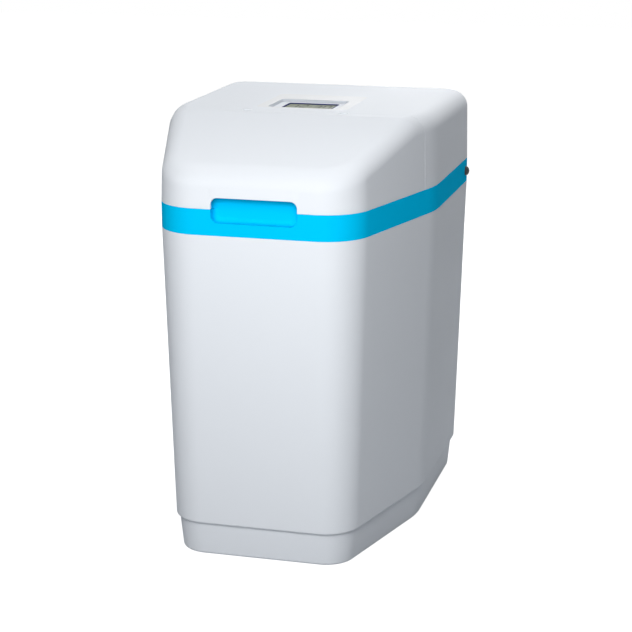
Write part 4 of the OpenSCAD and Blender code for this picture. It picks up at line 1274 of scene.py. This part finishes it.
@dataclass
class ControlPanel:
    """Recessed panel with overlay, display and keys.

    Attributes:
        floor: level of the recess's floor.
        overlay: middle, width and length of the overlay.
        overlay_r: its corner radius.
        overlay_z: its underside and its face, from the top.
        rim_z: highest level of the rim, from the top.
        window: middle, width and length of the display window.
        window_r: its corner radius.
        lcd_z: level of the display face.
        digit: height, width and stroke of a digit.
        digit_gap: half the gap between strokes.
        reading: place and value of each digit.
        colon: half size of a dot and its distance from the middle.
        key_y: place of the row of keys.
        key_x: places of the keys.
        key_r: radius of the keys.
        key_gap: gap round a key.
        drill_reach: how far the cuts for the keys reach past the floor, both ways.
        key_z: foot and top of the keys.
    """

    floor: float = PLAN.top - 3.3
    overlay: tuple[float, float, float] = (36.0, 114.0, 116.0)
    overlay_r: float = 8.0
    overlay_z: tuple[float, float] = (-0.3, 0.12)
    rim_z: float = 0.1
    window: tuple[float, float, float] = (24.0, 64.0, 40.0)
    window_r: float = 2.0
    lcd_z: float = PLAN.top - 4.4
    digit: tuple[float, float, float] = (20.0, 7.6, 2.0)
    digit_gap: float = 0.35
    reading: tuple[tuple[float, int], ...] = ((-21.0, 1), (-8.5, 2), (8.5, 3), (21.0, 0))
    colon: tuple[float, float] = (0.8, 3.2)
    key_y: float = -6.5
    key_x: tuple[float, float, float, float] = (-27.0, -9.0, 9.0, 27.0)
    key_r: float = 4.2
    key_gap: float = 0.35
    drill_reach: float = 12.0
    key_z: tuple[float, float] = (PLAN.top - 5.0, PLAN.top - 2.3)

    def build(self) -> None:
        """Builds the panel from its film down to the display."""
        self.film()
        self.dish()
        self.display()
        self.keys()

    @staticmethod
    def rings(box: tuple[float, float, float], corner: float,
              steps: Sequence[tuple[float, float, float]]) -> list[tuple[np.ndarray, float]]:
        """Rings of one section round a rectangle.

        Args:
            box: middle, width and length of the rectangle.
            corner: its corner radius.
            steps: growth of the rectangle, growth of its corner radius and level of each ring.

        Returns:
            Outlines with their levels.
        """
        y, w, l = box
        move = np.array([0.0, y])
        return [(rounded_rect(w + grow, l + grow, corner + turn, 8) + move, z) for grow, turn, z in steps]

    @staticmethod
    def frame(name: str, rings: list[tuple[np.ndarray, float]], finish: Finish) -> bpy.types.Object:
        """Closed frame through rings that run round its section.

        Args:
            name: name of the piece.
            rings: outlines of equal count with their levels.
            finish: its finish.

        Returns:
            The new object.
        """
        loft = Loft()
        rows = [loft.row(np.column_stack([outline, np.full(len(outline), z)])) for outline, z in rings]
        loft.chain(rows + rows[:1], closed=True)
        return loft.build(name, finish)

    def film(self) -> None:
        """Overlay sheet with the recess cut out."""
        low, top = (PLAN.top + z for z in self.overlay_z)
        rings = self.rings(self.overlay, self.overlay_r,
                           [(0, 0, low), (0, 0, top - 0.08), (-0.3, -0.15, top)])
        rings += self.rings(RECESS, RECESS_R, [(1.0, 0, top), (1.0, 0, low)])
        seat(self.frame("panel_film", rings, OVERLAY_PET), "casing", "overlay_film", "panel_overlay")

    def dish(self) -> None:
        """Rim under the film, painted grey as shade in the recess, and pale floor, with holes for the window
        and the keys.
        """
        top, f = PLAN.top + self.rim_z, self.floor
        rim = [(1.0, 0, top - 0.6), (0.8, 0, top - 0.1), (0.3, 0, top), (-0.2, 0, top - 0.25),
               (-1.0, 0, f + 0.7), (-1.4, -0.2, f + 0.2), (-2.0, -0.5, f + 0.03), (-2.0, -0.5, f - 1.0),
               (1.0, 0, f - 1.0)]
        # The rim is white plastic; its grey finish is painted shade in the recess
        seat(self.frame("panel_rim", self.rings(RECESS, RECESS_R, rim), RIM_SHADE_ABS), "casing", "white_plastic")
        rings = self.rings(RECESS, RECESS_R, [(-2.1, -0.5, f - 1.8), (-2.1, -0.5, f)])
        rings += self.rings(self.window, self.window_r,
                            [(0.8, 0.4, f), (0.1, 0, f - 0.3), (0, 0, f - 0.6), (0, 0, f - 1.8)])
        tray = self.frame("panel_floor", rings, WHITE_ABS)
        hole, low, high = self.key_r + self.key_gap, f - self.drill_reach, f + self.drill_reach
        drill = [(0.0, low), (hole, low), (hole, high), (0.0, high)]
        for x in self.key_x:
            cut(tray, lathe("key_tool", drill, WHITE_ABS, Matrix.Translation((x, self.key_y, 0))))
        seat(tray, "casing", "white_plastic")

    def display(self) -> None:
        """Dark frame, glass and segments of the display."""
        y, w, l = self.window
        z, lip = self.lcd_z, self.floor + 0.05
        steps = [(-0.1, 0, lip - 0.2), (-0.5, -0.2, lip), (-2.6, -0.8, lip - 0.1), (-3.0, -0.8, z + 0.1),
                 (-3.0, -0.8, z - 0.6), (-0.1, 0, z - 0.6)]
        rings = self.rings(self.window, self.window_r, steps)
        seat(self.frame("display_frame", rings, NAVY_FRAME), "casing", "black_plastic")
        glass = slab("display_glass", rounded_rect(w - 2.8, l - 2.8, 1.4), z - 0.5, z, LCD_GLASS, 0.1,
                     Matrix.Translation((0, y, 0)))
        seat(glass, "casing", "lcd_face", "display_window")
        self.digits(y, z)

    def digits(self, y: float, z: float) -> None:
        """Four plain seven-segment digits and a colon.

        Args:
            y: middle of the display.
            z: level of its face.
        """
        lit = {0: "abcdef", 1: "bc", 2: "abged", 3: "abgcd"}
        # Place of each segment in halves of the digit, and whether it lies level
        places = {"a": (0, 1, True), "d": (0, -1, True), "g": (0, 0, True), "b": (1, 0.5, False),
                  "c": (1, -0.5, False), "f": (-1, 0.5, False), "e": (-1, -0.5, False)}
        tall, wide, bar = self.digit
        b = bar / 2
        loft = Loft()
        for x, value in self.reading:
            for name in lit[value]:
                sx, sy, level = places[name]
                cx, cy = x + sx * wide / 2, y + sy * tall / 2
                half = (wide if level else tall / 2) / 2 - self.digit_gap
                hexa = [(-half, 0), (-half + b, -b), (half - b, -b), (half, 0), (half - b, b), (-half + b, b)]
                self.bar(loft, [(cx + u, cy + v) if level else (cx + v, cy + u) for u, v in hexa], z)
        d, away = self.colon
        for middle in (y - away, y + away):
            self.bar(loft, [(-d, middle - d), (d, middle - d), (d, middle + d), (-d, middle + d)], z)
        seat(loft.build("display_segments", LCD_INK), "casing", "black_plastic")

    @staticmethod
    def bar(loft: Loft, flat: list[tuple[float, float]], z: float) -> None:
        """Adds one raised segment to a loft.

        Args:
            loft: loft of the segments.
            flat: outline of the segment.
            z: level of the display face.
        """
        low, high = (loft.row(np.array([(u, v, level) for u, v in flat])) for level in (z - 0.02, z + 0.05))
        loft.bridge(low, high, closed=True)
        loft.faces += [low, high]

    def keys(self) -> None:
        """Four round keys with dished tops."""
        r, (foot, top) = self.key_r, self.key_z
        skirt = r + 0.3
        shape = [(0.0, foot), (skirt, foot), (skirt, foot + 0.6), (r, foot + 0.7), (r, top - 0.5),
                 (r - 0.15, top - 0.15), (r - 0.5, top), (r - 1.1, top - 0.12), (0.0, top - 0.4)]
        for x, name in zip(self.key_x, ("menu", "down", "up", "set")):
            key = lathe(f"key_{name}_cap", shape, KEY_SILICONE, Matrix.Translation((x, self.key_y, 0)))
            seat(key, f"key_{name}", "key_plastic", f"key_{name}")


@dataclass
class Plumbing:
    """Pipe connectors at the back and the overflow plug in the band.

    Attributes:
        thread: first and last place of the thread before the pipe's end.
        major: outer radius of the thread.
        depth: depth of the thread.
        pitch: pitch of the thread.
        bore: radius of the pipe's bore.
        lead: chamfer of the pipe's ends.
        spigot: length and radius of the spigot in the valve.
        flange: thickness and radius of the clamped flange.
        edge: rounding of the flange and of the plug.
        nut: length and radius of the hexagon.
        nut_edge: rounding of the hexagon.
        plug: radii of the plug's head and stem, height of its dome and length of its stem.
    """

    thread: tuple[float, float] = (23.0, 1.2)
    major: float = 13.2
    depth: float = 1.16
    pitch: float = 1.814
    bore: float = 9.6
    lead: float = 0.8
    spigot: tuple[float, float] = (14.0, 12.2)
    flange: tuple[float, float] = (4.0, 16.5)
    edge: float = 0.5
    nut: tuple[float, float] = (10.0, 15.7)
    nut_edge: float = 0.6
    plug: tuple[float, float, float, float] = (6.0, 4.45, 5.0, 9.7)

    def build(self) -> None:
        """Builds both connectors and the plug."""
        for name in ("inlet", "outlet"):
            low, high = (np.array(c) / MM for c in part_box(f"{name}_connector"))
            x, _, z = (low + high) / 2
            spin = Matrix.Translation((x, high[1], z)) @ Matrix.Rotation(-math.pi / 2, 4, "X")
            self.connector(name, high[1] - low[1], spin)
        self.stopper()

    def connector(self, name: str, length: float, spin: Matrix) -> None:
        """One pipe connector with its thread and hexagon.

        Args:
            name: which port it serves.
            length: length over all.
            spin: placement of the pipe's end, with the pipe below it.
        """
        root, bore, lead, q = self.major - self.depth, self.bore, self.lead, self.edge
        deep, shaft = self.spigot
        thick, wide = self.flange
        first, foot = self.thread[0], deep - length
        brim = foot + thick
        shape = [(bore, -lead), (bore + lead, 0.0), (root - lead, 0.0), (root, -lead), (root, -first),
                 (self.major, -first - lead), (self.major, brim), (wide - q, brim), (wide, brim - q),
                 (wide, foot + q), (wide - q, foot), (shaft, foot), (shaft, -length + lead),
                 (shaft - lead, -length), (bore, -length)]
        body = lathe(f"{name}_connector_body", shape, ACETAL, spin)
        seat(body, "casing", "acetal", f"{name}_connector")
        seat(self.helix(f"{name}_thread", root, spin), "casing", "acetal")
        tall, across = self.nut
        turn = np.radians(np.arange(6) * 60.0)
        hexagon = across * np.stack([np.cos(turn), np.sin(turn)], 1)
        nut = slab(f"{name}_hexagon", hexagon, brim, brim + tall, ACETAL, self.nut_edge, spin)
        seat(nut, "casing", "acetal")

    def helix(self, name: str, root: float, spin: Matrix) -> bpy.types.Object:
        """Helical ridge of a pipe thread.

        Args:
            name: name of the piece.
            root: radius at the foot of the thread.
            spin: placement of the pipe's end.

        Returns:
            The new object.
        """
        first, last = self.thread
        sides, foot = 40, root - 0.15
        count = int(((first - last) / self.pitch - 1) * sides)
        loft = Loft()
        rows = []
        for i in range(count + 1):
            t, z = 2 * math.pi * i / sides, self.pitch * i / sides - first
            # The ridge fades in and out over its first and last turn
            crest = root + self.depth * max(0.02, min(1.0, i / sides, (count - i) / sides))
            section = ((foot, 0.04), (crest, 0.40), (crest, 0.60), (foot, 0.96))
            ring = [spin @ Vector((r * math.cos(t), r * math.sin(t), z + u * self.pitch)) for r, u in section]
            rows.append(loft.row(np.array([tuple(v) for v in ring])))
        loft.chain(rows, closed=True)
        loft.faces += [rows[0], rows[-1]]
        return loft.build(name, ACETAL, 50)

    def stopper(self) -> None:
        """Domed rubber plug in the overflow hole, with a bead at its inner end."""
        head, stem, dome, long = self.plug
        q, under = self.edge, 0.05
        low, high = (np.array(c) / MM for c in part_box("overflow_plug"))
        _, y, z = (low + high) / 2
        spin = Matrix.Translation((high[0] - dome, y, z)) @ Matrix.Rotation(math.pi / 2, 4, "Y")
        shape = [(0.0, -long), (head - q, -long), (head, q - long), (head, 2 * q - long),
                 (stem, 3 * q - long), (stem, under), (head, under), (head, q)]
        arch = np.radians(np.linspace(6, 88, 14))
        shape += [(head * math.cos(a), q + (dome - q) * math.sin(a)) for a in arch]
        shape += [(0.0, dome)]
        seat(lathe("overflow_stopper", shape, BLACK_RUBBER, spin), "casing", "black_rubber", "overflow_plug")


@dataclass(frozen=True)
class Lamp:
    """One square soft lamp that faces the softener.

    Attributes:
        name: name of the lamp.
        place: where it hangs, in metres.
        size: side of its square in metres.
        power: power in watts.
        target: point that it faces.
    """

    name: str
    place: tuple[float, float, float]
    size: float
    power: float
    target: tuple[float, float, float] = (0.0, -0.05, 0.35)

    def hang(self) -> None:
        """Hangs the lamp in the scene."""
        data = bpy.data.lights.new(self.name, "AREA")
        data.size = self.size
        data.energy = self.power
        lamp = bpy.data.objects.new(self.name, data)
        lamp.location = self.place
        lamp.rotation_euler = (Vector(self.target) - Vector(self.place)).to_track_quat("-Z", "Y").to_euler()
        bpy.context.scene.collection.objects.link(lamp)


@dataclass
class Studio:
    """Floor, light and camera.

    Attributes:
        eye: place of the camera in metres.
        aim: direction of view.
        lens: focal length for a 36 mm sensor.
        floor: half size of the floor in metres.
        fade: distances in metres over which the paper brightens.
        glow: brightness of the paper to the eye at those distances.
        fill: strength of the surroundings' light.
        lamps: the soft lamps.
    """

    eye: tuple[float, float, float] = (0.581, -2.115, 0.830)
    aim: tuple[float, float, float] = (-0.2504, 0.933, -0.257)
    lens: float = 103.1
    floor: float = 6.0
    fade: tuple[float, float] = (0.5, 1.6)
    glow: tuple[float, float] = (0.92, 1.0)
    fill: float = 0.1
    lamps: tuple[Lamp, ...] = (
        Lamp("Low key", (0.0, -1.45, 0.75), 0.8, 4.1),
        Lamp("High key", (0.0, -1.3, 1.25), 0.8, 8.1),
        Lamp("Near key", (0.3, -1.0, 0.75), 0.5, 3.6),
        Lamp("Right rear", (1.3, 0.8, 1.2), 0.8, 3.2),
        Lamp("Left rear", (-1.3, 0.8, 1.2), 0.8, 3.2),
        Lamp("Rear", (0.0, 2.0, 0.9), 0.9, 12.0),
        Lamp("Overhead", (0.1, 1.2, 2.2), 0.8, 19.5),
    )

    def build(self) -> None:
        """Sets up the studio."""
        scene = bpy.context.scene
        scene.view_settings.view_transform = "Standard"
        self.world(scene)
        self.ground(scene)
        for lamp in self.lamps:
            lamp.hang()
        camera = bpy.data.objects.new("Camera", bpy.data.cameras.new("Camera"))
        camera.data.lens = self.lens
        camera.data.clip_end = 50
        camera.location = self.eye
        camera.rotation_euler = Vector(self.aim).to_track_quat("-Z", "Y").to_euler()
        scene.collection.objects.link(camera)
        scene.camera = camera

    @staticmethod
    def shown(tree: bpy.types.NodeTree) -> bpy.types.NodeSocket:
        """Picks the rays that show the background, and not those that light the softener.

        Args:
            tree: node tree to add to.

        Returns:
            Socket that is 1 for the eye, mirrors and glass, and 0 otherwise.
        """
        path = add_node(tree, "ShaderNodeLightPath")
        rays = path.outputs["Is Camera Ray"]
        for name in ("Is Glossy Ray", "Is Transmission Ray"):
            either = add_node(tree, "ShaderNodeMath", {"operation": "MAXIMUM"},
                              {0: rays, 1: path.outputs[name]})
            rays = either.outputs[0]
        return rays

    def world(self, scene: bpy.types.Scene) -> None:
        """White surroundings to the eye, soft fill to everything else.

        Args:
            scene: scene to light.
        """
        scene.world = bpy.data.worlds.new("Studio")
        tree = blank_tree(scene.world)
        fill = add_node(tree, "ShaderNodeBackground", {"Color": linear("#e6ebf2"), "Strength": self.fill})
        white = add_node(tree, "ShaderNodeBackground", {"Color": linear("#ffffff"), "Strength": 1.0})
        mix = add_node(tree, "ShaderNodeMixShader", {},
                       {0: self.shown(tree), 1: fill.outputs[0], 2: white.outputs[0]})
        add_node(tree, "ShaderNodeOutputWorld", {}, {"Surface": mix.outputs[0]})

    def ground(self, scene: bpy.types.Scene) -> None:
        """Pale floor that turns white to the eye and keeps the shadow.

        Args:
            scene: scene to stand on it.
        """
        s = self.floor
        mesh = bpy.data.meshes.new("Floor")
        mesh.from_pydata([(-s, -s, 0.0), (s, -s, 0.0), (s, s, 0.0), (-s, s, 0.0)], [], [(0, 1, 2, 3)])
        paper = bpy.data.materials.new("Paper sweep, matt white")
        tree = blank_tree(paper)
        # The paper brightens away from the softener, so that its far edge is lost in the white
        place = add_node(tree, "ShaderNodeTexCoord").outputs["Object"]
        away = add_node(tree, "ShaderNodeVectorMath", {"operation": "LENGTH"}, {0: place})
        (near, far), (dim, bright) = self.fade, self.glow
        tone = add_node(tree, "ShaderNodeMapRange",
                        {"From Min": near, "From Max": far, "To Min": dim, "To Max": bright},
                        {"Value": away.outputs["Value"]})
        level = add_node(tree, "ShaderNodeMath", {"operation": "MULTIPLY"},
                         {0: self.shown(tree), 1: tone.outputs["Result"]})
        lift = add_node(tree, "ShaderNodeEmission", {"Color": linear("#ffffff")},
                        {"Strength": level.outputs[0]})
        matt = add_node(tree, "ShaderNodeBsdfDiffuse", {"Color": linear("#a9acb0")})
        both = add_node(tree, "ShaderNodeAddShader", {}, {0: lift.outputs[0], 1: matt.outputs[0]})
        add_node(tree, "ShaderNodeOutputMaterial", {}, {"Surface": both.outputs[0]})
        mesh.materials.append(paper)
        floor = bpy.data.objects.new("Floor", mesh)
        scene.collection.objects.link(floor)


def dress_nodes() -> None:
    """Gives every solid of the frame the finish of its slot."""
    for name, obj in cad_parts.items():
        finish = SLOT_FINISH[obj.data.materials[0].name.split(".")[0]] if obj.data.materials else WHITE_ABS
        obj.data.materials.clear()
        obj.data.materials.append(finish.material())
        LOG.info("dressed %s", name)


def main() -> None:
    """Builds the dressed softener."""
    logging.basicConfig(level=logging.INFO, format="%(message)s")
    dress_nodes()
    for part in (Cabinet(), Band(), SaltLid(), RearCover(), ControlPanel(), Plumbing(), Studio()):
        part.build()


if __name__ == "__main__":
    main()
